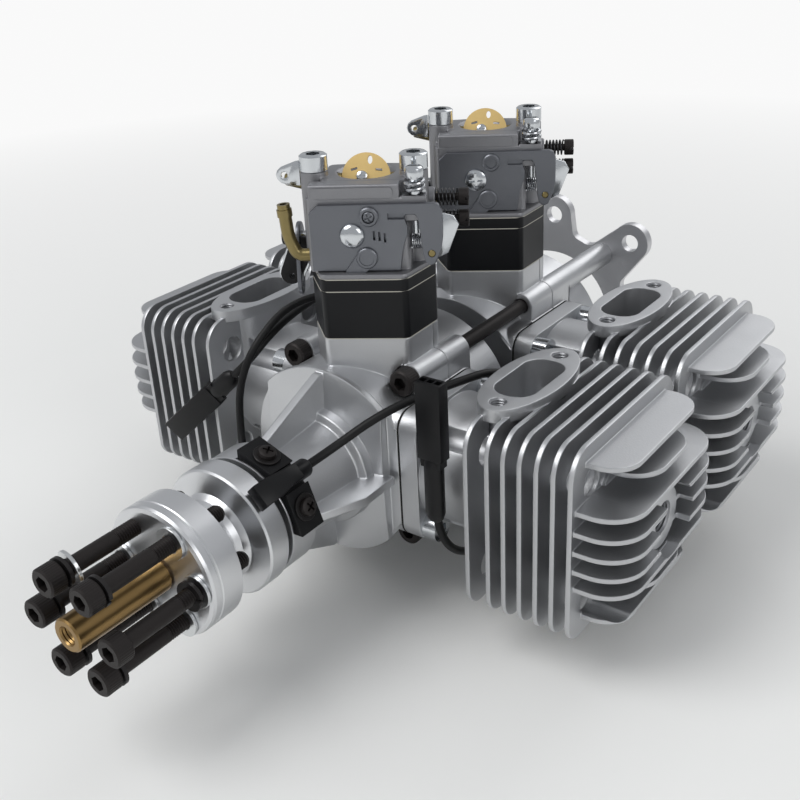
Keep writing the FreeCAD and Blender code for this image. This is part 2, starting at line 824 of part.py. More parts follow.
def case_bolts():
    screws = []
    for place in boss_places:
        head_y = front_split_y - boss_front - case_bolt_d
        screws.append(cap_screw(case_bolt_d, -0.5 - head_y - case_bolt_d, head_y, 1, place))
    return screws


# Intake: reed blocks, insulators and carburettors

def reed_block(split_y):
    block = hex_block(pedestal_top_z, reed_block_top_z)
    block = block.cut(rod_z(throat_radius, pedestal_top_z - 1, reed_block_top_z + 1, 0, bore_w))
    return intake_frame(block, split_y)


def reed_valve(split_y):
    """Wedge-shaped carrier that hangs in the pedestal passage, with two petals."""
    half_u = passage_u - 0.2
    half_w = passage_w - 0.2
    top = pedestal_top_z - 0.05
    low = top - 1.5
    tip = top - 13
    wedge = prism([(-half_u, -half_w, top), (-half_u, half_w, top), (-half_u, half_w, low),
                   (-half_u, 1, tip), (-half_u, -1, tip), (-half_u, -half_w, low)], (2 * half_u, 0, 0))
    inner = prism([(-half_u + 1.5, -half_w + 2, top + 1), (-half_u + 1.5, half_w - 2, top + 1),
                   (-half_u + 1.5, half_w - 2, low), (-half_u + 1.5, 0, tip + 3),
                   (-half_u + 1.5, -half_w + 2, low)], (2 * half_u - 3, 0, 0))
    solids = [wedge.cut(inner)]
    for side in (1, -1):
        slope = V(0, side * (1 - half_w), tip - low)
        normal = V(0, side * (low - tip), 1 - half_w).normalize()
        a = V(-half_u + 2, side * half_w, low).add(slope * 0.08).add(normal * 0.05)
        b = a.add(slope * 0.85)
        across = V(2 * half_u - 4, 0, 0)
        face = Part.Face(Part.makePolygon([a, b, b.add(across), a.add(across), a]))
        solids.append(face.extrude(normal * reed_thickness))
    for solid in solids:
        solid.translate(V(0, passage_shift, 0))
    return [intake_frame(s, split_y) for s in solids]


def insulator(split_y):
    block = hex_block(reed_block_top_z, insulator_top_z)
    block = block.cut(rod_z(throat_radius, reed_block_top_z - 1, insulator_top_z + 1, 0, bore_w))
    return intake_frame(block, split_y)


def carb_bore():
    z0 = insulator_top_z
    tool = rod_z(throat_radius, z0 - 1, z0 + 12, 0, bore_w)
    tool = tool.fuse(Part.makeCone(throat_radius, venturi_radius, 3, V(0, bore_w, z0 + 12), V(0, 0, 1)))
    tool = tool.fuse(rod_z(venturi_radius, z0 + 15, z0 + 17, 0, bore_w))
    tool = tool.fuse(Part.makeCone(venturi_radius, throat_radius, 4, V(0, bore_w, z0 + 17), V(0, 0, 1)))
    tool = tool.fuse(rod_z(throat_radius, z0 + 21, carb_deck_z + 1, 0, bore_w))
    flare = inlet_radius - throat_radius
    return tool.fuse(Part.makeCone(throat_radius, inlet_radius, flare, V(0, bore_w, carb_deck_z - flare), V(0, 0, 1)))


def carb_body(split_y):
    z0 = insulator_top_z
    core = box(carb_left_u, carb_right_u, carb_front_w, carb_back_w, z0 + 1, carb_ledge_z)
    core = rounded(core, 1.5, V(0, 0, 1))
    deck = box(carb_left_u + 4, carb_right_u - 1, carb_deck_front_w, carb_back_w, carb_ledge_z - 2, carb_deck_z)
    shapes = [core, rounded(deck, 2.0, V(0, 0, 1)), hex_block(z0, z0 + 1.6)]
    for sign in (1, -1):
        shapes.append(rod_z(carb_ear_radius, z0, carb_top_z, sign * carb_screw_spacing / 2))
    shapes.append(box(carb_right_u - 2, idle_u + 3.5, carb_front_w, idle_w + 3.2, carb_ledge_z - 7, cover_high_z))
    for z in (needle_high_z, needle_low_z):
        shapes.append(rod_x(needle_boss_radius, carb_right_u - 2, needle_boss_u, needle_w, z))
    shapes.append(rod_x(3.4, carb_left_u - 3, carb_left_u + 2, bore_w, throttle_z))
    body = fused(shapes).cut(carb_bore())
    for sign in (1, -1):
        hole_r = carb_screw_d / 2 + bolt_clearance
        body = body.cut(rod_z(hole_r, z0 - 1, carb_top_z + 1, sign * carb_screw_spacing / 2))
    for z in (choke_z, throttle_z):
        body = body.cut(rod_x(carb_shaft_d / 2 + running_gap, 2 * carb_left_u, 2 * carb_right_u, bore_w, z))
    for z in (needle_high_z, needle_low_z):
        body = body.cut(rod_x(1.3, 11, needle_boss_u + 1, needle_w, z))
    body = body.cut(rod_z(1.6, carb_ledge_z - 8, cover_high_z + 1, idle_u, idle_w))
    return intake_frame(body, split_y)


def pump_cover(split_y):
    """Front cover plate, with the arm that hangs down on its right side."""
    w0 = carb_front_w - pump_cover_thickness
    right = carb_right_u - 2
    points = [(carb_left_u + 0.5, cover_low_z), (right, cover_low_z), (right, cover_high_z - 3.5),
              (right + 4.5, cover_high_z - 3.5), (right + 5.5, cover_low_z + 4), (right + 8, cover_low_z + 1.2),
              (right + 10.5, cover_low_z + 4), (right + 11.5, cover_high_z - 2), (right + 9.5, cover_high_z),
              (carb_left_u + 3.5, cover_high_z), (carb_left_u + 0.5, cover_high_z - 3)]
    plate = prism([(u, w0, z) for u, z in points], (0, pump_cover_thickness, 0))
    return intake_frame(plate, split_y)


def metering_cover(split_y):
    plate = box(carb_left_u + 1, carb_right_u - 1, carb_back_w, carb_back_w + metering_cover_thickness,
                cover_low_z + 1, carb_ledge_z)
    plate = rounded(plate, 3.0, V(0, 1, 0))
    middle = (carb_left_u + carb_right_u) / 2
    z = (cover_low_z + carb_ledge_z) / 2
    dome = rod_y(6.5, carb_back_w + metering_cover_thickness - 0.5, carb_back_w + metering_cover_thickness + 1, middle, z)
    plate = plate.fuse(dome).cut(rod_y(1.0, carb_back_w - 1, carb_back_w + metering_cover_thickness + 2, middle, z))
    return intake_frame(plate, split_y)


def cover_screws(split_y):
    face = carb_front_w - pump_cover_thickness
    screws = [rod_y(cover_screw_radius, face - 1.9, face, cover_screw_u, cover_screw_z)]
    back = carb_back_w + metering_cover_thickness
    middle = (carb_left_u + carb_right_u) / 2
    z = (cover_low_z + carb_ledge_z) / 2 + 0.5
    for su in (1, -1):
        for sz in (1, -1):
            screws.append(rod_y(2.2, back, back + 1.5, middle + su * 11.0, z + sz * 7.5))
    return [intake_frame(s, split_y) for s in screws]


def carb_mount_screws(split_y):
    screws = []
    r = carb_screw_d * cap_head_ratio / 2
    for sign in (1, -1):
        u = sign * carb_screw_spacing / 2
        head = rod_z(r, carb_top_z, carb_top_z + carb_screw_d, u)
        head = head.cut(hex_socket(carb_screw_d, V(u, 0, carb_top_z + carb_screw_d), V(0, 0, -1)))
        screws.append(intake_frame(head.fuse(rod_z(carb_screw_d / 2, insulator_top_z, carb_top_z + 1, u)), split_y))
    return screws


def fuel_nipple(split_y):
    points = [(carb_left_u - 0.02, nipple_w, nipple_foot_z), (carb_left_u - 4.0, nipple_w, nipple_foot_z),
              (carb_left_u - 6.4, nipple_w, nipple_bend_z), (carb_left_u - nipple_lean, nipple_w, nipple_top_z)]
    tube = cord("nipple", points, nipple_d).fuse(collar(points, nipple_d / 2 + 0.35))
    hole = rod_z(nipple_bore / 2, nipple_top_z - 6, nipple_top_z + 2, carb_left_u - nipple_lean, nipple_w)
    return intake_frame(tube.cut(hole), split_y)


def collar(points, radius):
    """Short ring round the last run of a tube, just before its end."""
    end = V(*points[-1])
    back = V(*points[-2]).sub(end).normalize()
    return Part.makeCylinder(radius, 2.2, end.add(back * 1.5), back)


def adjuster_screws(split_y):
    """Idle screw and two mixture needles."""
    seat = cover_high_z + 5.4
    screws = [rod_z(idle_spring_radius, seat, seat + 4.7, idle_u, idle_w).fuse(
        rod_z(1.5, carb_ledge_z - 7, seat + 1, idle_u, idle_w))]
    for z in (needle_high_z, needle_low_z):
        u = needle_boss_u + needle_spring_length
        head = rod_x(needle_spring_radius, u, u + 3.2, needle_w, z)
        head = head.cut(box(u + 2.2, u + 4, needle_w - 3, needle_w + 3, z - 0.4, z + 0.4))
        screws.append(head.fuse(rod_x(1.2, 12, u + 1, needle_w, z)))
    return [intake_frame(s, split_y) for s in screws]


def spring(start, direction, length, radius):
    """Envelope of a coil spring, as a plain sleeve of one wire's thickness."""
    at = start.add(direction * spring_end_gap)
    run = length - 2 * spring_end_gap
    sleeve = Part.makeCylinder(radius, run, at, direction)
    return sleeve.cut(Part.makeCylinder(radius - spring_wire, run + 2, at.sub(direction), direction))


def carb_springs(split_y):
    sleeves = [spring(V(idle_u, idle_w, cover_high_z), V(0, 0, 1), 5.4, idle_spring_radius)]
    for z in (needle_high_z, needle_low_z):
        sleeves.append(spring(V(needle_boss_u, needle_w, z), V(1, 0, 0), needle_spring_length, needle_spring_radius))
    sleeves.append(spring(V(carb_right_u, carb_front_w + 3, return_spring_z), V(1, 0, 0), 4.2, 2.8))
    return [intake_frame(s, split_y) for s in sleeves]


def butterfly(z, angle, split_y, grow=0.0):
    """Disc on a shaft's axis, tilted from level; grow thickens it to cut its slot."""
    half = butterfly_thickness / 2 + grow
    disc = Part.makeCylinder(throat_radius - butterfly_gap + grow, 2 * half, V(0, 0, -half), V(0, 0, 1))
    disc.rotate(V(0, 0, 0), V(1, 0, 0), angle)
    disc.translate(V(0, bore_w, z))
    return intake_frame(disc, split_y)


def choke_shaft(split_y):
    u0 = carb_left_u - 8.5
    shaft = rod_x(carb_shaft_d / 2, u0, carb_right_u - 2, bore_w, choke_z)
    arm = lever_arm(u0, 7.0, 3.6, 2.6)
    arm.rotate(V(0, 0, 0), V(1, 0, 0), 70)
    arm.translate(V(0, bore_w, choke_z))
    whole = intake_frame(shaft.fuse(arm), split_y)
    return whole.cut(butterfly(choke_z, choke_rest_angle, split_y, 0.02))


def throttle_shaft(split_y):
    shaft = rod_x(carb_shaft_d / 2, carb_left_u - 6.5, carb_right_u + 3, bore_w, throttle_z)
    whole = intake_frame(shaft, split_y)
    return whole.cut(butterfly(throttle_z, throttle_rest_angle, split_y, 0.02))


def throttle_lever(split_y):
    arm = lever_arm(carb_left_u - 6.3, 15.0, 4.5, 3.2)
    arm = arm.cut(rod_x(carb_shaft_d / 2 + 0.02, carb_left_u - 8, carb_left_u, 0, 0))
    arm.rotate(V(0, 0, 0), V(1, 0, 0), 165)
    arm.translate(V(0, bore_w, throttle_z))
    return intake_frame(arm, split_y)


def lever_arm(u0, length, hub_r, end_r):
    """Flat lever that stands up from the u axis, with a link hole at its end."""
    u1 = u0 + lever_thickness
    sides = prism([(u0, -hub_r, 0), (u0, hub_r, 0), (u0, end_r, length), (u0, -end_r, length)], (lever_thickness, 0, 0))
    arm = fused([sides, rod_x(hub_r, u0, u1), rod_x(end_r, u0, u1, 0, length)])
    return arm.cut(rod_x(1.0, u0 - 1, u1 + 1, 0, length))


# Crank sensors, clamps, cords and connectors

def turned_to(shape, angle):
    """Turn a shape about the crank axis, from +X toward +Z."""
    turned = shape.copy()
    turned.rotate(V(0, 0, 0), V(0, 1, 0), -angle)
    return turned


def sensor(angle):
    y0 = sensor_front_y
    y1 = y0 + sensor_length
    x0 = sensor_floor
    x1 = x0 + sensor_height
    body = prism([(x0, y0, -sensor_width / 2), (x1 - 1.2, y0, -sensor_width / 2), (x1, y0 + 5, -sensor_width / 2),
                  (x1, y1 - 5, -sensor_width / 2), (x0, y1 - 5, -sensor_width / 2)], (0, 0, sensor_width))
    tail = rod_y(sensor_height / 2, y1 - 6, y1, x0 + sensor_height / 2)
    return turned_to(body.fuse(tail), angle)


def sensor_clamp(angle):
    """Strap on the nose ring with a flat pad on either side of the sensor that it holds."""
    y0 = nose_ring_front_y + 0.4
    inner = nose_ring_radius + clamp_inner_gap
    face = inner + clamp_thickness
    half = math.radians(clamp_half_angle)
    pad = math.radians(clamp_pad_angle)
    end = face / math.cos(half - pad)
    middle = face / math.cos(pad)
    strap = prism([(0, y0, 0), (end * math.cos(half), y0, -end * math.sin(half)), (middle, y0, 0),
                   (end * math.cos(half), y0, end * math.sin(half))], (0, clamp_length, 0))
    strap = strap.cut(rod_y(inner, y0 - 1, y0 + clamp_length + 1))
    gap = clamp_inner_gap
    strap = strap.cut(box(sensor_floor - gap, middle + 1, y0 - 1, y0 + clamp_length + 1,
                          -sensor_width / 2 - gap, sensor_width / 2 + gap))
    return turned_to(strap, angle)


right_cable_points = [(16.62, -180.25, 16.62), (16.62, -171.0, 16.62), (27.5, -156.5, 26.6), (38.8, -140.0, 30.8),
                      (43.5, -116.8, 28.4), (44.5, -100.3, 11.7), (44.5, -100.3, -11.7), (44.5, -116.8, -28.2),
                      (44.5, -140.2, -28.2), (44.5, -156.7, -11.7), (44.5, -156.7, 3.9)]

left_cable_points = [(-16.62, -180.25, -16.62), (-16.62, -171.5, -16.62), (-29.0, -161.0, -11.0), (-38.5, -152.0, 0.0),
                     (-37.5, -151.0, 17.0), (-33.5, -145.0, 31.0), (-30.5, -129.0, 40.5), (-16.8, -114.6, 42.0),
                     (-4.7, -107.6, 42.0), (-2.8, -100.5, 42.0), (-6.5, -94.1, 42.0), (-13.6, -92.2, 42.0),
                     (-24.9, -98.7, 40.0), (-30.8, -112.0, 37.5), (-32.0, -126.0, 35.5), (-33.0, -138.0, 31.5),
                     (-35.2, -147.5, 24.6), (-41.8, -148.5, 18.5)]


def cord(name, points, diameter):
    """Straight runs joined by tangent arcs, swept with a round section."""
    path = [V(*p) for p in points]
    pieces = []
    radii = []
    start = path[0]
    for before, corner, after in zip(path, path[1:], path[2:]):
        back = before.sub(corner)
        ahead = after.sub(corner)
        half_turn = (math.pi - back.getAngle(ahead)) / 2
        reach = 0.45 * min(back.Length, ahead.Length)
        radii.append(round(reach / math.tan(half_turn), 1))
        back.normalize()
        ahead.normalize()
        p = corner.add(back * reach)
        q = corner.add(ahead * reach)
        inward = back.add(ahead).normalize()
        offset = radii_length(reach, half_turn) / math.cos(half_turn) - radii_length(reach, half_turn)
        middle = corner.add(inward * offset)
        pieces.append(Part.LineSegment(start, p).toShape())
        pieces.append(Part.Arc(p, middle, q).toShape())
        start = q
    pieces.append(Part.LineSegment(start, path[-1]).toShape())
    wire = Part.Wire(pieces)
    profile = Part.Wire(Part.Circle(path[0], path[1].sub(path[0]), diameter / 2).toShape())
    tube = wire.makePipeShell([profile], True, False)
    expected = math.pi * diameter ** 2 / 4 * wire.Length
    print(name, "radii", radii, "volume ratio", round(tube.Volume / expected, 3))
    return tube


def radii_length(reach, half_turn):
    return reach / math.tan(half_turn)


def connector(points, length):
    """Plug body at the end of a cord, with the sleeve that the cord enters."""
    end = V(*points[-1])
    out = end.sub(V(*points[-2])).normalize()
    sleeve = rod_z(sleeve_radius, 0, sleeve_length)
    body = box(-connector_width / 2, connector_width / 2, -connector_depth / 2, connector_depth / 2,
               sleeve_length, sleeve_length + length)
    taper = box(-connector_width / 2 + 0.8, connector_width / 2 - 0.8, -connector_depth / 2 + 0.5,
                connector_depth / 2 - 0.5, sleeve_length - 2.5, sleeve_length + 1)
    plug = fused([sleeve, taper, body])
    plug.Placement = FreeCAD.Placement(end, FreeCAD.Rotation(V(0, 0, 1), out))
    return plug


def build_static():
    save("front_case_nose_half", front_case_nose_half())
    save("front_case_rear_half", front_case_rear_half())
    save("rear_case_front_half", rear_case_front_half())
    save("rear_case_rear_half", rear_case_rear_half())
    cylinder = cylinder_shape()
    gaskets = []
    bolts = []
    for name, split_y in zip(names, splits):
        for side_name, side in (("right", 1), ("left", -1)):
            save(name + "_" + side_name + "_cylinder", place_side(cylinder, split_y, side))
            gaskets.append(place_side(base_gasket(), split_y, side))
            bolts += [place_side(b, split_y, side) for b in base_bolts()]
    save("base_gaskets", gaskets)
    save("cylinder_bolts", bolts)
    save("main_bearings", main_bearings())
    save("crank_seal", crank_seals())
    save("mount_plate", mount_plate())
    save("case_bolts", case_bolts())
    save("reed_blocks", [reed_block(y) for y in splits])
    save("reed_valves", [s for y in splits for s in reed_valve(y)])
    save("insulators", [insulator(y) for y in splits])
    save("front_carb_body", carb_body(front_split_y))
    save("rear_carb_body", carb_body(rear_split_y))
    save("carb_covers", [c for y in splits for c in (pump_cover(y), metering_cover(y))])
    save("carb_cover_screws", [s for y in splits for s in cover_screws(y)])
    save("carb_mount_screws", [s for y in splits for s in carb_mount_screws(y)])
    save("fuel_nipples", [fuel_nipple(y) for y in splits])
    save("adjuster_screws", [s for y in splits for s in adjuster_screws(y)])
    save("carb_springs", [s for y in splits for s in carb_springs(y)])
    save("hall_sensors", [sensor(a) for a in sensor_angles])
    save("sensor_clamps", [sensor_clamp(a) for a in sensor_angles])
    save("right_sensor_cable", cord("right cable", right_cable_points, cable_d))
    save("left_sensor_cable", cord("left cable", left_cable_points, cable_d))
    save("right_connector", connector(right_cable_points, right_connector_length))
    save("left_connector", connector(left_cable_points, left_connector_length))


def build_moving():
    save("front_crankshaft", front_crankshaft())
    save("rear_crankshaft", rear_crankshaft())
    save("crank_coupling", crank_coupling())
    for name, split_y in zip(names, splits):
        for side_name, side in (("right", 1), ("left", -1)):
            stem = name + "_" + side_name
            save(stem + "_piston", piston(split_y, side, name == "front"))
            save(stem + "_rod", rod(split_y, side, name == "front"))
    save("prop_hub", prop_hub())
    save("hub_magnet", hub_magnet())
    save("prop_bolts", prop_bolts())
    save("lock_washers", lock_washers())
    save("flat_washers", flat_washers())
    save("centre_tube", centre_tube())
    for name, split_y in zip(names, splits):
        save(name + "_choke_plate", butterfly(choke_z, choke_rest_angle, split_y))
        save(name + "_choke_shaft", choke_shaft(split_y))
        save(name + "_throttle_plate", butterfly(throttle_z, throttle_rest_angle, split_y))
        save(name + "_throttle_shaft", throttle_shaft(split_y))
        save(name + "_throttle_lever", throttle_lever(split_y))


build_static()
build_moving()
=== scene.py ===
"""Dresses the flat four-cylinder two-stroke engine with its finished pieces, materials, stage and camera.

Lengths inside the functions are in mm, in the engine's frame: X to the right-hand cylinders, Y from the
propeller to the mount plate, Z up. A piece's mesh is scaled to metres when it is stored.
"""

import json
import math

import bmesh
import bpy
from mathutils import Matrix, Vector
from mathutils.bvhtree import BVHTree


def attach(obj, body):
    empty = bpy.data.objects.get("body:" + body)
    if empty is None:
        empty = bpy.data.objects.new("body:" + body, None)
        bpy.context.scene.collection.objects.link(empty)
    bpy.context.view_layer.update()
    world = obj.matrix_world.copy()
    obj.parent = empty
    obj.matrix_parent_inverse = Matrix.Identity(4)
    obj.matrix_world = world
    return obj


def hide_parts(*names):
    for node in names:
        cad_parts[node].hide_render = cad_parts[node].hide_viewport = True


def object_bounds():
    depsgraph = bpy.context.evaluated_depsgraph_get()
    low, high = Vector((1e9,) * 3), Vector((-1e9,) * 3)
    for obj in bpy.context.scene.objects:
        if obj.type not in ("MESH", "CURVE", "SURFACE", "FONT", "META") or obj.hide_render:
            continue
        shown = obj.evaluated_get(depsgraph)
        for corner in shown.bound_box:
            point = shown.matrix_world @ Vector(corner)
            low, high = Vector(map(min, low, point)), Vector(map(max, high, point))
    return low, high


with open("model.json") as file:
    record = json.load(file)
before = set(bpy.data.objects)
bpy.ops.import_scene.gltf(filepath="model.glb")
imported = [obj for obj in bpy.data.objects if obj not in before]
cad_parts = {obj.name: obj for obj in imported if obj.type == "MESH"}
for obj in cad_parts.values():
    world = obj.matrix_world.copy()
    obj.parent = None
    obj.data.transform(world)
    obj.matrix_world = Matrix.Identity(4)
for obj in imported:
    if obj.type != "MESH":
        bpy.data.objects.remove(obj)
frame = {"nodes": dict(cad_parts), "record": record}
cad_low, cad_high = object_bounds()

bl_info = {
    "name": "Flat four-cylinder engine",
    "version": (1, 0, 0),
    "blender": (4, 5, 0),
    "location": "3D View > Sidebar > Engine",
    "description": "Finished pieces, materials, stage and camera for a flat four-cylinder two-stroke engine",
    "category": "Object",
}

MM = 0.001
FORWARD = (0, -1, 0)
REARWARD = (0, 1, 0)

# Camera in mm, with its azimuth, elevation and roll in degrees
CAMERA_PLACE = (200.63, -376.50, 169.91)
CAMERA_TURN = (37.29, 26.70, -3.16)
CAMERA_LENS = 48.53
CAMERA_SHIFT = (0.0009, 0.0031)

# The stage, in metres
ENGINE_CENTRE = (0, -0.12, 0.02)
BACKGROUND = (0.95, 0.95, 0.95, 1)

# Y of the split between each module's case halves, and how far its cylinders stand ahead of it and behind
MODULES = {"front": -120.5, "rear": -52.5}
SIDES = {"right": 1, "left": -1}
STAGGER = 8.0
PLUG_FACE_X = 103.0
PORT_X = 60.0
PORT_SCREW_Y = 18.0
PORT_SCREW_Z = 33.4

# Propeller end and crankcase bolts
TUBE_FRONT_Y = -255.9
BOLT_FRONT_Y = -255.0
BOLT_HEAD = 5.0
BOLT_CIRCLE_RADIUS = 14.5
HUB_FRONT_Y = -224.3
CASE_BOLT = (21.5, -140.5, 27.0)

# The sensors' straps sit on the nose ring
STRAP_Y = -186.6
STRAP_SCREW_ANGLE = 24.5

# Intake frame: u along the carburettor's screws, w away from the propeller
INTAKE_X = 2.5
INTAKE_AHEAD = 7.0
INTAKE_TURN = 30.0
BORE_W = 4.5
CHOKE_Z = 84.4
CHOKE_OPEN = 68.0
THROTTLE_Z = 66.5
THROTTLE_HANG = 165.0
JOINT_HEIGHTS = (40.0, 55.2, 59.0)
NEEDLE_HEIGHTS = (77.0, 70.3)
IDLE_SCREW = (16.0, -9.5, 0)
COVER_FACE_W = -13.2
COVER_SCREW = (-2.7, -13.1, 71.9)
ARM_PIN = (20.6, -13.0, 66.1)

RIGHT_CORD = [(16.62, -180.25, 16.62), (16.62, -171.0, 16.62), (27.5, -156.5, 26.6), (38.8, -140.0, 30.8),
              (43.5, -116.8, 28.4), (44.5, -100.3, 11.7), (44.5, -100.3, -11.7), (44.5, -116.8, -28.2),
              (44.5, -140.2, -28.2), (44.5, -156.7, -11.7), (44.5, -156.7, 3.9)]
LEFT_CORD = [(-16.62, -180.25, -16.62), (-16.62, -171.5, -16.62), (-29.0, -161.0, -11.0), (-38.5, -152.0, 0.0),
             (-37.5, -151.0, 17.0), (-33.5, -145.0, 31.0), (-30.5, -129.0, 40.5), (-16.8, -114.6, 42.0),
             (-4.7, -107.6, 42.0), (-2.8, -100.5, 42.0), (-6.5, -94.1, 42.0), (-13.6, -92.2, 42.0),
             (-24.9, -98.7, 40.0), (-30.8, -112.0, 37.5), (-32.0, -126.0, 35.5), (-33.0, -138.0, 31.5),
             (-35.2, -147.5, 24.6), (-41.8, -148.5, 18.5)]


def linear(code):
    """An sRGB hex colour as linear red, green and blue."""
    parts = [int(code[i:i + 2], 16) / 255 for i in (1, 3, 5)]
    return tuple(c / 12.92 if c <= 0.04045 else ((c + 0.055) / 1.055) ** 2.4 for c in parts)


def colour(label, what, code):
    """Colour setting, as sRGB hex."""
    return bpy.props.FloatVectorProperty(name=label, description=what, subtype="COLOR", size=3, min=0, max=1,
                                         default=linear(code))


def length(label, what, mm):
    """Length setting, in mm."""
    return bpy.props.FloatProperty(name=label, description=what, default=mm * MM, min=0, unit="LENGTH",
                                   precision=5)


class EngineSizes(bpy.types.PropertyGroup):
    casting_edge: length("Casting edge", "Radius on the edges of the cast cases", 0.5)
    fin_edge: length("Fin edge", "Radius on the edges of the cooling fins", 0.35)
    machined_edge: length("Machined edge", "Chamfer on turned and milled edges", 0.25)
    propeller_pitch: length("Propeller bolt pitch", "Thread pitch of the six long bolts", 0.8)
    plug_pitch: length("Plug thread pitch", "Thread pitch of the spark plug holes", 1.0)
    spring_wire: length("Spring wire", "Wire thickness of the carburettor springs", 0.8)
    cord_diameter: length("Cord diameter", "Outer diameter of the crank sensors' cords", 2.6)


class EngineColours(bpy.types.PropertyGroup):
    case: colour("Crankcase", "Bead-blasted die-cast aluminium of the crankcases", "#C9CACC")
    # Painted shade: the cylinders' colour is set darker than the case's for the fins shading one another
    cylinder: colour("Cylinders", "Bead-blasted die-cast aluminium of the cylinders", "#C2C3C5")
    carburettor: colour("Carburettors", "Raw die-cast zinc of the carburettor bodies", "#929295")
    blocks: colour("Intake blocks", "Moulded black nylon of the intake blocks", "#090A0D")
    bolts: colour("Black bolts", "Black oxide on the socket cap screws", "#252120")
    tube: colour("Centre tube", "Yellow brass of the centre tube", "#94794F")


# Materials

def add_node(tree, kind, links=None, **settings):
    """Add a shader node with its fields set, and fill or link its inputs."""
    made = tree.nodes.new(kind)
    for key, value in settings.items():
        setattr(made, key, value)
    for key, value in (links or {}).items():
        if isinstance(value, bpy.types.NodeSocket):
            tree.links.new(value, made.inputs[key])
        else:
            made.inputs[key].default_value = value
    return made


def finish(name, base, metallic, roughness, grain=0.0, depth=0.0, mottle=0.0, rings=None):
    """A procedural finish on a base colour, which is linear or an sRGB hex code.

    Grain is the size of its surface texture in mm, and depth how deep that is in mm. Mottle is how far the
    roughness wanders over a few centimetres. Rings is the axis of turning marks, if any.
    """
    base = linear(base) if isinstance(base, str) else base
    made = bpy.data.materials.new(name)
    made.use_nodes = True
    tree = made.node_tree
    tree.nodes.clear()
    # Moulded plastics and rubber reflect less than clear lacquer does
    specular = 0.5 if metallic else 0.3
    shader = add_node(tree, "ShaderNodeBsdfPrincipled", {"Base Color": (*base, 1.0), "Metallic": metallic,
                                                         "Roughness": roughness, "Specular IOR Level": specular})
    add_node(tree, "ShaderNodeOutputMaterial", {"Surface": shader.outputs["BSDF"]})
    place = add_node(tree, "ShaderNodeTexCoord").outputs["Object"]
    if mottle:
        cloud = add_node(tree, "ShaderNodeTexNoise", {"Vector": place, "Scale": 1 / (12 * MM), "Detail": 4.0})
        spread = add_node(tree, "ShaderNodeMapRange", {"Value": cloud.outputs["Fac"], "From Min": 0.3,
                                                       "From Max": 0.7, "To Min": roughness - mottle,
                                                       "To Max": roughness + mottle})
        tree.links.new(spread.outputs["Result"], shader.inputs["Roughness"])
    if grain:
        sand = add_node(tree, "ShaderNodeTexNoise", {"Vector": place, "Scale": 1 / (grain * MM), "Detail": 2.0})
        bump = add_node(tree, "ShaderNodeBump", {"Height": sand.outputs["Fac"], "Strength": 1.0,
                                                 "Distance": depth * MM})
        tree.links.new(bump.outputs["Normal"], shader.inputs["Normal"])
    if rings is not None:
        # Feed marks of the lathe, drawn coarser than the real 0.1 mm so that they show
        across = [0.0 if i == rings else 1.0 for i in range(3)]
        flat = add_node(tree, "ShaderNodeVectorMath", {0: place, 1: across}, operation="MULTIPLY")
        radius = add_node(tree, "ShaderNodeVectorMath", {0: flat.outputs["Vector"]}, operation="LENGTH")
        split = add_node(tree, "ShaderNodeSeparateXYZ", {"Vector": place})
        both = add_node(tree, "ShaderNodeMath", {0: radius.outputs["Value"], 1: split.outputs[rings]},
                        operation="ADD")
        groove = add_node(tree, "ShaderNodeTexNoise", {"W": both.outputs["Value"], "Scale": 1 / (0.5 * MM),
                                                       "Detail": 3.0}, noise_dimensions="1D")
        bump = add_node(tree, "ShaderNodeBump", {"Height": groove.outputs["Fac"], "Strength": 1.0,
                                                 "Distance": depth * MM})
        tree.links.new(bump.outputs["Normal"], shader.inputs["Normal"])
    return made


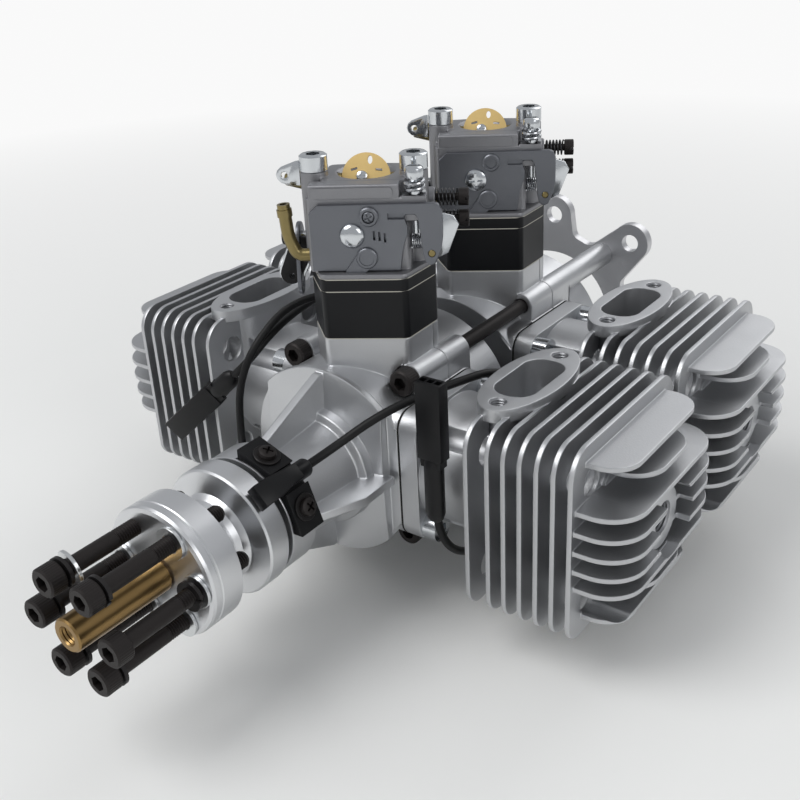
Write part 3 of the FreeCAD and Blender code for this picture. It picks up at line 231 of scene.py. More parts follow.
def make_finishes(colours):
    """Every material of the engine, by the name of its slot in the record where it has one."""
    return {
        # Fine shot leaves a silky grey-white skin that spreads highlights
        "cast_case": finish("bead_blasted_die_cast_aluminium", colours.case, 1.0, 0.40, 0.45, 0.05, 0.05),
        # The same blasting, its colour set a shade darker all over as painted shade for the fins shading one another
        "cast_cylinder": finish("bead_blasted_cylinder_aluminium_painted_fin_shade", colours.cylinder, 1.0, 0.44, 0.45, 0.05, 0.05),
        # Milled flat faces are brighter and smoother than the blasted skin
        "machined_alloy": finish("milled_aluminium", "#D2D3D5", 1.0, 0.30, mottle=0.03),
        # Bare plate with a fine brushed haze
        "machined_plate": finish("brushed_aluminium_plate", "#CFCFD1", 1.0, 0.38, 0.6, 0.01, 0.04),
        # Bright turning with faint rings from the lathe
        "turned_hub": finish("turned_aluminium", "#DADBDD", 1.0, 0.33, depth=0.006, rings=1),
        # Soft sooty black with a dull brown sheen
        "black_oxide_steel": finish("black_oxide_steel", colours.bolts, 0.55, 0.50, 0.5, 0.03),
        # Races, journals and other steel ground to size
        "bearing_steel": finish("ground_bearing_steel", "#C4C5C8", 1.0, 0.16),
        "ground_steel": finish("ground_steel", "#B4B5B8", 1.0, 0.25, mottle=0.03),
        # Cutting oil and fine tool marks dull the threads
        "tapped_alloy": finish("tapped_aluminium", "#8C8D90", 1.0, 0.45, 0.5, 0.02),
        # Drawn wire, bright on the idle spring and blackened on the needles' springs
        "spring_steel": finish("drawn_spring_steel", "#BFC1C4", 1.0, 0.22),
        "black_spring": finish("blackened_spring_steel", "#3A3A3C", 0.8, 0.32),
        # Matt black rubber lip
        "seal_rubber": finish("nitrile_rubber", "#1D1D1E", 0.0, 0.62, 0.5, 0.02),
        # Straps of glass-filled nylon, rough enough to scatter what little they reflect
        "black_anodised": finish("black_glass_filled_nylon", "#0C0C0E", 0.0, 0.50, 0.5, 0.03),
        # Moulded nylon, satin and nearly black
        "black_block": finish("moulded_black_nylon", colours.blocks, 0.0, 0.36, 0.7, 0.012, 0.03),
        "dark_insulator": finish("moulded_black_phenolic", "#0B0C0F", 0.0, 0.42, 0.7, 0.012, 0.03),
        # Sheet gaskets: graphite at the cylinders, bare fibre between the intake's blocks
        "gasket_paper": finish("graphite_gasket", "#242322", 0.0, 0.75, 0.3, 0.02),
        "pale_gasket": finish("pressed_gasket_paper", "#B9B6AC", 0.0, 0.85, 0.3, 0.02),
        # Woven glass in green resin
        "reed_valve": finish("glass_fibre_reed", "#4E5A46", 0.0, 0.5, 0.4, 0.01),
        # Raw zinc casting, duller and darker than the aluminium
        "zinc_carb": finish("raw_die_cast_zinc", colours.carburettor, 0.9, 0.46, 0.4, 0.05, 0.06),
        "zinc_cover": finish("satin_die_cast_zinc", "#76787D", 0.95, 0.40, 0.4, 0.03, 0.05),
        # Mirror-like with a cold tint
        "bright_zinc": finish("bright_zinc_plate", "#D3D6D9", 1.0, 0.17, 1.2, 0.01),
        "zinc_washer": finish("zinc_plated_washer", "#D6D8D9", 1.0, 0.28),
        "dark_washer": finish("blackened_spring_washer", "#2A2828", 0.6, 0.42),
        # Brass that has dulled to olive, the turned tube a little browner, the stamped sheet bright yellow
        "brass": finish("yellow_brass", "#8E8058", 1.0, 0.32, 0.8, 0.01, 0.05),
        "brass_tube": finish("turned_yellow_brass", colours.tube, 1.0, 0.34, depth=0.002, rings=1),
        "yellow_brass_plate": finish("stamped_brass_sheet", "#EBCB88", 0.55, 0.42, 0.6, 0.02, 0.05),
        # Glossy mouldings of the sensors and plugs, and the softer skin of their cords
        "black_plastic": finish("black_abs", "#08080A", 0.0, 0.40, 0.6, 0.01),
        "cable_sleeve": finish("black_pvc", "#0A0A0B", 0.0, 0.50, 0.8, 0.01),
        # Nickel plate and machined alloy inside the cases
        "magnet": finish("nickel_plated_magnet", "#B9BABC", 1.0, 0.22),
        "piston_alloy": finish("machined_piston_alloy", "#BFC0C2", 1.0, 0.30, mottle=0.03),
    }


FINISHES = {}


# Shapes

def facing(origin, direction, roll=0.0):
    """Place, in mm, whose Z runs along direction from origin."""
    turn = Vector((0, 0, 1)).rotation_difference(Vector(direction)).to_matrix().to_4x4()
    return Matrix.Translation(origin) @ turn @ Matrix.Rotation(roll, 4, "Z")


def intake(split_y):
    """Place of a module's intake frame (u, w, z)."""
    return (Matrix.Translation((INTAKE_X, split_y - INTAKE_AHEAD, 0))
            @ Matrix.Rotation(math.radians(INTAKE_TURN), 4, "Z"))


def lathe(bm, profile, place=Matrix.Identity(4), steps=32):
    """Turn (radius, height) points about a place's Z axis."""
    verts = [bm.verts.new(place @ Vector((r, 0, h))) for r, h in profile]
    edges = [bm.edges.new(pair) for pair in zip(verts, verts[1:])]
    bmesh.ops.spin(bm, geom=verts + edges, cent=place.translation, axis=place.col[2].xyz, angle=math.tau,
                   steps=steps, use_merge=True)


def ring(bm, inner, outer, low, high, place, steps=32, c=0.12):
    """Washer with chamfers of c on its edges."""
    lathe(bm, [(inner, low + c), (inner + c, low), (outer - c, low), (outer, low + c), (outer, high - c),
               (outer - c, high), (inner + c, high), (inner, high - c), (inner, low + c)], place, steps)


def prism(bm, outline, place, thickness):
    """Extrude a flat outline along its place's Z."""
    verts = [bm.verts.new(place @ Vector((a, b, 0))) for a, b in outline]
    face = bm.faces.new(verts)
    grown = bmesh.ops.extrude_face_region(bm, geom=[face])["geom"]
    moved = [v for v in grown if isinstance(v, bmesh.types.BMVert)]
    bmesh.ops.translate(bm, vec=place.to_3x3() @ Vector((0, 0, thickness)), verts=moved)


def rod(bm, radius, depth, place, steps=24):
    """Plain cylinder along its place's Z, centred on it."""
    bmesh.ops.create_cone(bm, cap_ends=True, segments=steps, radius1=radius, radius2=radius, depth=depth,
                          matrix=place)


def standing(u, w, z):
    """Place for an outline in u and z that grows rearward."""
    return Matrix(((1, 0, 0, u), (0, 0, 1, w), (0, 1, 0, z), (0, 0, 0, 1)))


def capsule(near, far, reach, steps=8):
    """Outline of a flat link with a round end of one radius at the origin and another at reach."""
    a = math.atan2(reach[1], reach[0])
    outline = []
    for (x, y), radius, start in (((0, 0), near, a + math.pi / 2), (reach, far, a - math.pi / 2)):
        for i in range(steps + 1):
            t = start + i * math.pi / steps
            outline.append((x + radius * math.cos(t), y + radius * math.sin(t)))
    return outline


def block(bm, low, high, place=Matrix.Identity(4)):
    """Box between two corners."""
    size = [b - a for a, b in zip(low, high)]
    middle = [(a + b) / 2 for a, b in zip(low, high)]
    bmesh.ops.create_cube(bm, size=1.0, matrix=place @ Matrix.Translation(middle) @ Matrix.Diagonal((*size, 1.0)))


def move(bm, place):
    """Take a whole bmesh to a place."""
    bmesh.ops.transform(bm, matrix=place, verts=bm.verts)


def along(axis):
    """Test for edges that run along an axis."""
    return lambda e: abs(e.verts[0].co[axis] - e.verts[1].co[axis]) > 0.1


def soften(bm, width, segments=2, angle=30.0, only=None):
    """Round every edge sharper than an angle, or those that a test picks."""
    # Flat faces with holes or deep notches tear when their edges are rounded, so they are split first
    bmesh.ops.connect_verts_concave(bm, faces=bm.faces)
    limit = math.radians(angle)
    edges = [e for e in bm.edges if e.is_manifold and e.calc_face_angle(0) > limit and (only is None or only(e))]
    before = BVHTree.FromBMesh(bm)
    bmesh.ops.bevel(bm, geom=edges, offset=width, offset_type="OFFSET", segments=segments, profile=0.5,
                    affect="EDGES", material=-1, clamp_overlap=False)
    # Where several short edges meet the rounding can overshoot, so such corners go back onto the old surface
    for v in bm.verts:
        place, _, _, distance = before.find_nearest(v.co)
        if distance > 0.8 * width:
            v.co = place


def tidy(bm):
    """Merge doubled corners and turn every face outward."""
    bmesh.ops.remove_doubles(bm, verts=bm.verts, dist=0.0005)
    bmesh.ops.recalc_face_normals(bm, faces=bm.faces)


def as_mesh(bm):
    """Finish a bmesh as a mesh that can be stamped at several places."""
    tidy(bm)
    mesh = bpy.data.meshes.new("part")
    bm.to_mesh(mesh)
    bm.free()
    return mesh


def flat_piece(outline, place, thickness, edge):
    """Bmesh of a flat piece with rounded edges."""
    bm = bmesh.new()
    prism(bm, outline, place, thickness)
    tidy(bm)
    soften(bm, edge)
    return bm


def add_object(name, data):
    """Put an object with this data into the scene."""
    made = bpy.data.objects.new(name, data)
    bpy.context.scene.collection.objects.link(made)
    return made


def stamp(bm, part, place=Matrix.Identity(4)):
    """Add a copy of a finished part's mesh at a place."""
    placed = part.copy()
    placed.transform(place)
    bm.from_mesh(placed)
    bpy.data.meshes.remove(placed)


def carve(bm, cutter):
    """Take the cutter's shape out of a bmesh. The cutter is used up."""
    objects = []
    for shape in (bm, cutter):
        tidy(shape)
        mesh = bpy.data.meshes.new("carve")
        shape.to_mesh(mesh)
        objects.append(add_object("carve", mesh))
    cut = objects[0].modifiers.new("cut", "BOOLEAN")
    cut.operation = "DIFFERENCE"
    cut.solver = "EXACT"
    cut.use_self = True
    cut.object = objects[1]
    bpy.context.view_layer.update()
    result = objects[0].evaluated_get(bpy.context.evaluated_depsgraph_get()).to_mesh()
    bm.clear()
    bm.from_mesh(result)
    cutter.free()
    for made in objects:
        bpy.data.meshes.remove(made.data)


def drill(bm, radius, depth, place, steps=24):
    """Cut a hole with straight walls, centred on its place."""
    cutter = bmesh.new()
    rod(cutter, radius, depth, place, steps)
    carve(bm, cutter)


def store(bm, name, slot, body, replaced=(), finish_name=None, smooth=38.0, weighted=False):
    """Keep a bmesh, in mm, as a finished piece that rides on a body."""
    tidy(bm)
    bmesh.ops.scale(bm, vec=(MM, MM, MM), verts=bm.verts)
    limit = math.radians(smooth)
    for face in bm.faces:
        face.smooth = True
    for edge in bm.edges:
        edge.smooth = edge.is_manifold and edge.calc_face_angle(0) < limit
    mesh = bpy.data.meshes.new(name)
    bm.to_mesh(mesh)
    bm.free()
    mesh.materials.clear()
    mesh.materials.append(FINISHES[finish_name or slot])
    made = add_object(name, mesh)
    if weighted:
        even = made.modifiers.new("even shading", "WEIGHTED_NORMAL")
        even.keep_sharp = True
    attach(made, body)
    if replaced:
        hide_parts(*replaced)
    return made


def cad_copy(node):
    """A CAD node's mesh in mm, merged and with its flat faces made whole."""
    bm = bmesh.new()
    bm.from_mesh(frame["nodes"][node].data)
    bmesh.ops.scale(bm, vec=(1 / MM, 1 / MM, 1 / MM), verts=bm.verts)
    bmesh.ops.remove_doubles(bm, verts=bm.verts, dist=0.003)
    bmesh.ops.dissolve_limit(bm, angle_limit=math.radians(0.6), verts=bm.verts, edges=bm.edges, delimit={"NORMAL"})
    return bm


def softened(node, slot, radius):
    """Store a fixed CAD node with its sharp edges rounded as a casting's or a machined part's are."""
    bm = cad_copy(node)
    soften(bm, radius, angle=32.0)
    store(bm, node + "_finished", slot, "engine", [node], weighted=True)


# Fasteners and springs, each along its own Z with the head at the start

def cap_head(bm, radius, height, across, knurl, steps):
    """Socket cap head with its open end at height 0."""
    lathe(bm, [(0, 0), (radius - 0.6, 0), (radius, 0.45), (radius, height - 0.3), (radius - 0.25, height),
               (0, height)], steps=steps)
    tidy(bm)
    if knurl:
        for v in bm.verts:
            r = math.hypot(v.co.x, v.co.y)
            turn = round(math.atan2(v.co.y, v.co.x) / math.tau * steps)
            if r > radius - 0.01 and turn % 2:
                v.co.xy *= (radius - knurl) / radius
    drill(bm, across / math.sqrt(3), height, Matrix.Translation((0, 0, 0.05)), 6)


def threaded(radius, pitch, start, end):
    """Profile points of an outer thread between two heights."""
    points = [(radius, start)]
    for i in range(int((end - start) / pitch)):
        points += [(radius - 0.6 * pitch, start + (i + 0.5) * pitch), (radius, start + (i + 1) * pitch)]
    return points


def cap_screw(d, shank, thread_from, pitch, knurl=0.1):
    """Mesh of a socket cap screw: head 1.7 d wide and d high, then its shank."""
    bm = bmesh.new()
    cap_head(bm, d * 0.85, d, d * 0.8, knurl, 72 if knurl else 48)
    r = d / 2
    end = d + shank
    profile = [(0, d - 0.5), (r, d - 0.5), (r, thread_from)] + threaded(r, pitch, thread_from + 0.01, end - 0.8)
    profile += [(r - 0.5, end), (0, end)]
    lathe(bm, profile, steps=24)
    return as_mesh(bm)


def cross_screw(radius, height, arm):
    """Mesh of a pan head with a cross recess. It stands on height 0 and faces +Z."""
    bm = bmesh.new()
    lathe(bm, [(0, -0.4), (radius * 0.97, -0.4), (radius, 0.1), (radius, height * 0.3 + 0.1),
               (radius * 0.92, height * 0.72), (radius * 0.7, height * 0.92), (radius * 0.35, height),
               (0, height)], steps=40)
    cutter = bmesh.new()
    for turn in (0, math.pi / 2):
        block(cutter, (-arm, -arm * 0.2, height * 0.35), (arm, arm * 0.2, height + 1),
              Matrix.Rotation(turn, 4, "Z"))
    carve(bm, cutter)
    return as_mesh(bm)


def coil(bm, radius, wire, low, high, turns, place, steps=22):
    """Coil spring between two heights, with closed wire ends."""
    middle = radius - wire / 2
    start = place @ Matrix.Translation((middle, 0, low + wire / 2)) @ Matrix.Rotation(math.pi / 2, 4, "X")
    made = bmesh.ops.create_circle(bm, segments=8, radius=wire / 2, matrix=start)["verts"]
    edges = list({e for v in made for e in v.link_edges})
    count = int(turns * steps)
    axis = place.col[2].xyz.normalized()
    bmesh.ops.spin(bm, geom=made + edges, cent=place.translation, axis=axis, angle=math.tau * turns, steps=count,
                   dvec=axis * (high - low - wire) / count)
    bmesh.ops.holes_fill(bm, edges=[e for e in bm.edges if e.is_boundary], sides=8)


# Operators

def settings():
    """The engine's sizes, in metres."""
    return bpy.context.scene.engine_sizes


class ENGINE_OT_camera(bpy.types.Operator):
    """Put the camera where the photograph was taken from"""

    bl_idname = "engine.camera"
    bl_label = "Camera"

    def execute(self, context):
        azimuth, elevation, roll = (math.radians(a) for a in CAMERA_TURN)
        back = Vector((math.sin(azimuth) * math.cos(elevation), -math.cos(azimuth) * math.cos(elevation),
                       math.sin(elevation)))
        level = Vector((math.cos(azimuth), math.sin(azimuth), 0))
        upright = back.cross(level)
        right = level * math.cos(roll) + upright * math.sin(roll)
        up = upright * math.cos(roll) - level * math.sin(roll)
        data = bpy.data.cameras.new("camera")
        data.sensor_width = 36.0
        data.lens = CAMERA_LENS
        data.shift_x, data.shift_y = CAMERA_SHIFT
        data.clip_start = 0.02
        data.clip_end = 20
        turn = Matrix((right, up, back)).transposed().to_4x4()
        context.scene.camera = add_object("camera", data)
        context.scene.camera.matrix_world = Matrix.Translation(Vector(CAMERA_PLACE) * MM) @ turn
        return {"FINISHED"}


class ENGINE_OT_cords(bpy.types.Operator):
    """Lay the two crank sensor cords, each with its connector"""

    bl_idname = "engine.cords"
    bl_label = "Sensor cords"

    def execute(self, context):
        for side, points, span in (("right", RIGHT_CORD, 0.199), ("left", LEFT_CORD, 0.220)):
            plug = sensor_connector(side, points)
            curve = bpy.data.curves.new(side + "_cord", "CURVE")
            curve.dimensions = "3D"
            curve.resolution_u = 12
            curve.bevel_depth = settings().cord_diameter / 2
            curve.bevel_resolution = 5
            curve.use_fill_caps = True
            spline = curve.splines.new("NURBS")
            spline.points.add(len(points) - 1)
            for point, place in zip(spline.points, points):
                point.co = (*(c * MM for c in place), 1.0)
            spline.order_u = 3
            spline.use_endpoint_u = True
            curve.materials.append(FINISHES["cable_sleeve"])
            cord = add_object(side + "_cord", curve)
            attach(cord, "engine")
            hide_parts(side + "_sensor_cable")
        return {"FINISHED"}


def sensor_connector(side, points):
    """Plug body at the end of a cord, with the heat-shrink sleeve that the cord enters."""
    end = Vector(points[-1])
    run = 24.5 if side == "right" else 27.0
    place = facing(end, end - Vector(points[-2]))
    bm = bmesh.new()
    block(bm, (-4.2, -2.3, 12.0), (4.2, 2.3, 12.0 + run))
    soften(bm, 0.35)
    cutter = bmesh.new()
    for a in (-2.55, 0.0, 2.55):
        block(cutter, (a - 0.85, 1.6, run + 4.0), (a + 0.85, 3.0, run + 6.6))
        block(cutter, (a - 0.95, -1.0, run + 9.0), (a + 0.95, 1.0, run + 13.0))
    block(cutter, (-2.6, 1.9, 16.5), (2.6, 3.0, 17.6))
    carve(bm, cutter)
    block(bm, (-3.4, -1.8, 9.5), (3.4, 1.8, 13.0))
    sleeve = bmesh.new()
    low = -9.0 if side == "right" else 0.0
    lathe(sleeve, [(0, low), (1.6, low), (2.2, low + 0.8), (2.8, low + 3.0), (2.8, 9.0), (2.9, 11.0), (2.2, 12.3),
                   (0, 12.3)], steps=28)
    bmesh.ops.scale(sleeve, vec=(1.16, 0.86, 1.0), verts=sleeve.verts)
    stamp(bm, as_mesh(sleeve))
    move(bm, place)
    return store(bm, side + "_plug", "black_plastic", "engine", [side + "_connector"])


class ENGINE_OT_castings(bpy.types.Operator):
    """Round the edges of the crankcases, cylinders and plate"""

    bl_idname = "engine.castings"
    bl_label = "Castings"

    def execute(self, context):
        for node in ("front_case_nose_half", "front_case_rear_half", "rear_case_front_half", "rear_case_rear_half"):
            softened(node, "cast_case", settings().casting_edge / MM)
        for module in MODULES:
            for side in SIDES:
                softened(module + "_" + side + "_cylinder", "cast_cylinder", settings().fin_edge / MM)
        softened("mount_plate", "machined_plate", 0.4)
        softened("reed_blocks", "black_block", 0.35)
        softened("insulators", "dark_insulator", 0.3)
        return {"FINISHED"}


class ENGINE_OT_threads(bpy.types.Operator):
    """Cut the spark plug and exhaust bolt threads into the cylinders"""

    bl_idname = "engine.threads"
    bl_label = "Cylinder threads"

    def execute(self, context):
        pitch = settings().plug_pitch / MM
        for module, split_y in MODULES.items():
            for side, sign in SIDES.items():
                bm = bmesh.new()
                centre = split_y - sign * STAGGER
                inner_thread(bm, 5.0, pitch, 12.0, facing((sign * PLUG_FACE_X, centre, 0), (-sign, 0, 0)))
                for y in (-PORT_SCREW_Y, PORT_SCREW_Y):
                    inner_thread(bm, 2.5, 0.8, 10.0, facing((sign * PORT_X, centre + y, PORT_SCREW_Z), (0, 0, -1)))
                store(bm, module + "_" + side + "_threads", "cast_cylinder", "engine", finish_name="tapped_alloy",
                      smooth=20.0)
        return {"FINISHED"}


def inner_thread(bm, radius, pitch, depth, place):
    """Thin ridged sleeve that lines a threaded hole."""
    turns = int(depth / pitch)
    inside = [(radius - 0.02, 0)]
    for i in range(turns):
        inside += [(radius - 0.55 * pitch, (i + 0.5) * pitch), (radius - 0.02, (i + 1) * pitch)]
    lathe(bm, inside + [(radius + 0.15, turns * pitch), (radius + 0.15, 0), inside[0]], place, steps=36)


class ENGINE_OT_hub(bpy.types.Operator):
    """Turn the propeller hub and its centre tube"""

    bl_idname = "engine.hub"
    bl_label = "Propeller hub"

    def execute(self, context):
        bm = bmesh.new()
        c = settings().machined_edge / MM
        disc = [(4.02, 0), (18.5, 0), (19.6, 0.35), (20.0, 1.2), (20.0, 3.0), (19.7, 3.3), (19.7, 3.8), (20.0, 4.1),
                (20.0, 11.5 - c), (20.0 - c, 11.5)]
        neck = [(12.6, 11.5), (11.8, 11.9), (11.5, 12.8), (11.5, 18.0), (12.0, 20.0), (13.5, 21.6), (16.5, 22.3)]
        flange = [(19.4, 22.9), (20.0, 23.4), (20.0, 30.0), (19.6, 30.5)]
        seat = [(7.52, 30.5), (7.52, 3.0), (4.02, 3.0), (4.02, 0)]
        lathe(bm, disc + neck + flange + seat, facing((0, HUB_FRONT_Y, 0), REARWARD), steps=96)
        store(bm, "hub_turned", "turned_hub", "crank", ["prop_hub"], smooth=14.0)
        bm = bmesh.new()
        bore = [(2.95, 0.0), (2.6, 0.5)]
        for i in range(20):
            bore += [(2.6, 0.5 + i), (2.95, 1.0 + i)]
        bore += [(2.6, 20.5), (0, 20.5)]
        outside = [(0, 43.5), (4.0, 43.5), (4.0, 31.0), (5.0, 31.0), (5.0, 0.5), (4.5, 0.0)]
        lathe(bm, outside + bore, facing((0, TUBE_FRONT_Y, 0), REARWARD), steps=64)
        store(bm, "centre_tube_turned", "brass_tube", "crank", ["centre_tube"], smooth=25.0)
        return {"FINISHED"}


def bolt_place(i, y):
    """Place on a propeller bolt, each turned a little more than the last."""
    a = math.radians(60 * i)
    return facing((BOLT_CIRCLE_RADIUS * math.cos(a), y, BOLT_CIRCLE_RADIUS * math.sin(a)), REARWARD, 0.4 * i)


class ENGINE_OT_bolts(bpy.types.Operator):
    """Make the long propeller bolts, their washers and the crankcase bolts"""

    bl_idname = "engine.bolts"
    bl_label = "Black bolts and washers"

    def execute(self, context):
        pitch = settings().propeller_pitch / MM
        under_head = BOLT_FRONT_Y + BOLT_HEAD
        screw = cap_screw(BOLT_HEAD, 43.4, 23.5, pitch)
        bm = bmesh.new()
        for i in range(6):
            stamp(bm, screw, bolt_place(i, BOLT_FRONT_Y))
        store(bm, "propeller_bolts", "black_oxide_steel", "crank", ["prop_bolts"], smooth=30.0)
        bm = bmesh.new()
        for i, gap in enumerate((22.0, 0.2, 0.4, 0.2, 0.3, 0.2)):
            split_ring(bm, bolt_place(i, under_head + gap))
        store(bm, "split_washers", "dark_washer", "crank", ["lock_washers"])
        bm = bmesh.new()
        for i, gap in enumerate((24.65, 24.65, 3.5, 24.65, 24.65, 24.65)):
            lean = Matrix.Rotation(math.radians(11 if i == 2 else 0), 4, "X")
            ring(bm, 2.65, 4.9, 0, 1.0, bolt_place(i, under_head + gap) @ lean, steps=40)
        store(bm, "plain_washers", "zinc_washer", "crank", ["flat_washers"])
        long_screw = cap_screw(BOLT_HEAD, 135.0, 126.0, pitch)
        bm = bmesh.new()
        x, y, z = CASE_BOLT
        for across, up in ((-x, -z), (-x, z), (x, -z), (x, z)):
            stamp(bm, long_screw, facing((across, y, up), REARWARD, 0.3))
        store(bm, "crankcase_bolts", "black_oxide_steel", "engine", ["case_bolts"], smooth=30.0)
        return {"FINISHED"}


def split_ring(bm, place):
    """Spring washer: a square section wound once, with a cut and a slight rise."""
    corners = [(2.6, 0.0), (4.4, 0.0), (4.4, 1.1), (2.6, 1.1)]
    verts = [bm.verts.new(place @ Vector((r, 0, h))) for r, h in corners]
    edges = [bm.edges.new(pair) for pair in zip(verts, verts[1:] + verts[:1])]
    axis = place.col[2].xyz
    bmesh.ops.spin(bm, geom=verts + edges, cent=place.translation, axis=axis, angle=math.radians(352), steps=36,
                   dvec=axis * 0.45 / 36)
    bmesh.ops.holes_fill(bm, edges=[e for e in bm.edges if e.is_boundary], sides=4)


class ENGINE_OT_sensors(bpy.types.Operator):
    """Finish the crank sensors, their straps and the straps' screws"""

    bl_idname = "engine.sensors"
    bl_label = "Crank sensors"

    def execute(self, context):
        softened("sensor_clamps", "black_anodised", 0.25)
        screw = cross_screw(2.75, 1.8, 1.6)
        heads, washers, bodies = bmesh.new(), bmesh.new(), bmesh.new()
        strap = Vector((0, STRAP_Y, 0))
        for turn in (45.0, 225.0):
            for a in (math.radians(turn - STRAP_SCREW_ANGLE), math.radians(turn + STRAP_SCREW_ANGLE)):
                out = Vector((math.cos(a), 0, math.sin(a)))
                stamp(heads, screw, facing(out * 22.5 + strap, out, 0.5))
                ring(washers, 1.6, 4.0, 0.0, 0.75, facing(out * 21.76 + strap, out))
            sensor_body(bodies, Matrix.Rotation(math.radians(-turn), 4, "Y"))
        store(heads, "strap_screws", "black_oxide_steel", "engine")
        store(washers, "strap_washers", "dark_washer", "engine")
        store(bodies, "sensor_bodies", "black_plastic", "engine", ["hall_sensors"])
        return {"FINISHED"}


def sensor_body(bm, place):
    """Moulded sensor: a square nose, a wedge and a round tail for the cord."""
    part = bmesh.new()
    side = [(-200.3, 20.7), (-200.3, 24.5), (-195.6, 25.4), (-190.0, 26.3), (-185.0, 26.3), (-185.0, 20.7)]
    prism(part, side, Matrix(((0, 1, 0, 0), (1, 0, 0, 0), (0, 0, -1, 3.5), (0, 0, 0, 1))), 7.0)
    for v in part.verts:
        if v.co.y > -191:
            v.co.z *= 0.72
    soften(part, 0.3)
    lathe(part, [(0, 0), (2.6, 0), (2.8, 0.5), (2.8, 8.5), (2.4, 9.2), (0, 9.2)], facing((23.5, -189.5, 0), REARWARD))
    stamp(bm, as_mesh(part), place)


class ENGINE_OT_carburettors(bpy.types.Operator):
    """Build both carburettors' covers, screws, springs, levers and choke plates"""

    bl_idname = "engine.carburettors"
    bl_label = "Carburettors"

    def execute(self, context):
        for module, split_y in MODULES.items():
            for make in (carb_body, covers, cover_screws, mount_screws, springs, idle_screw, needles, gaskets,
                         cover_arm, choke_disc, choke_spindle, throttle_lever):
                make(module, intake(split_y))
        return {"FINISHED"}


def fit(bm, place, *looks, **more):
    """Store a piece that is drawn in the intake frame."""
    move(bm, place)
    store(bm, *looks, **more)


def shared(module, node):
    """A CAD node of both carburettors' pieces is replaced with the front one's."""
    return [node] if module == "front" else ()


def carb_body(module, place):
    """Carburettor casting, with its deck and the deck's raised band."""
    bm = cad_copy(module + "_carb_body")
    soften(bm, 0.45, angle=32.0)
    deck = bmesh.new()
    block(deck, (-15.4, -11.3, 80.0), (11.6, -6.0, 86.5))
    soften(deck, 0.6, 3)
    stamp(bm, as_mesh(deck), place)
    band = bmesh.new()
    block(band, (-14.4, -11.75, 82.8), (9.6, -11.0, 85.7))
    soften(band, 1.0, 3, only=along(1))
    stamp(bm, as_mesh(band), place)
    store(bm, module + "_carb_casting", "zinc_carb", "engine", [module + "_carb_body"], weighted=True)


def covers(module, place):
    """Front and back cover of one carburettor."""
    bm = cover_shape(module == "front")
    fit(bm, place, module + "_cover", "zinc_cover", "engine", shared(module, "carb_covers"), weighted=True)
    bm = bmesh.new()
    block(bm, (-15.5, 12.8, 61.8), (13.0, 16.8, 82.6))
    soften(bm, 3.0, 4, only=along(1))
    soften(bm, 0.5)
    lathe(bm, [(0, 0), (6.5, 0), (6.5, 4.6), (5.6, 5.0), (1.2, 5.0), (1.0, 4.6), (0, 4.6)],
          facing((-1.25, 12.8, 71.7), REARWARD))
    fit(bm, place, module + "_back_cover", "zinc_cover", "engine", weighted=True)


def cover_shape(front):
    """Bmesh of the front cover with its bosses, its slots and the arm on its right."""
    face = [(-15.3, 78.6), (-15.3, 60.9), (11.2, 60.9), (11.9, 66.0), (12.6, 69.0), (13.7, 72.0), (13.7, 74.5),
            (12.8, 77.2)]
    arm = [(13.4, 77.9), (16.0, 77.9), (16.8, 76.8), (17.4, 72.0), (17.9, 66.2), (18.6, 63.4), (20.0, 62.3),
           (21.6, 62.9), (23.4, 67.0), (24.0, 71.0), (24.0, 78.9), (23.0, 80.9), (21.8, 81.3), (-12.6, 81.1)]
    bm = flat_piece(face + arm, standing(0, COVER_FACE_W, 0), 1.9, 0.35)
    cutter = bmesh.new()
    if front:
        for u, z in ((3.8, 71.8), (5.4, 71.6), (7.0, 71.1)):
            block(cutter, (u - 0.35, -14, z - 1.4), (u + 0.35, -11.6, z + 1.4))
    block(cutter, (8.0, -14, 76.6), (12.8, -12.2, 78.5))
    rod(cutter, 1.15, 4, facing(ARM_PIN, REARWARD))
    carve(bm, cutter)
    for u, z, r in ((2.5, 77.6, 2.9), (1.3, 65.0, 3.2)):
        boss = [(0, -0.5), (r, -0.5), (r, 0.7), (r - 0.35, 1.0), (r - 1.0, 1.0), (r - 1.15, 0.3), (0, 0.3)]
        lathe(bm, boss, facing((u, COVER_FACE_W, z), FORWARD), steps=40)
    if front:
        stamp(bm, cross_screw(1.7, 0.8, 1.2), facing((2.5, -13.5, 77.6), FORWARD, 0.4))
    tab = flat_piece(capsule(3.1, 2.3, (-4.3, -4.6)), standing(1.3, -13.9, 65.0), 0.8, 0.25)
    stamp(bm, as_mesh(tab))
    return bm


def cover_screws(module, place):
    """Screws of both covers. The front carburettor's big one has no cross."""
    bm = bmesh.new()
    if module == "front":
        lathe(bm, [(0, 0), (3.7, 0), (3.8, 0.4), (3.45, 1.2), (2.5, 1.75), (1.2, 2.0), (0, 2.05)],
              facing(COVER_SCREW, FORWARD), steps=48)
    else:
        stamp(bm, cross_screw(3.8, 2.0, 2.3), facing(COVER_SCREW, FORWARD, 0.1))
    small = cross_screw(2.2, 1.5, 1.3)
    for u in (-11.0, 11.0):
        for z in (-7.5, 7.5):
            stamp(bm, small, facing((-1.25 + u, 16.7, 72.2 + z), REARWARD, 0.6))
    fit(bm, place, module + "_cover_screws", "bright_zinc", "engine", shared(module, "carb_cover_screws"))


def mount_screws(module, place):
    """Two tall cap screws that hold the carburettor down."""
    bm = bmesh.new()
    screw = cap_screw(5.0, 29.0, 25.0, 0.8, knurl=0.0)
    for u in (-15.0, 15.0):
        stamp(bm, screw, facing((u, 0, 93.2), (0, 0, -1), 0.35))
    fit(bm, place, module + "_mount_screws", "bright_zinc", "engine", shared(module, "carb_mount_screws"))


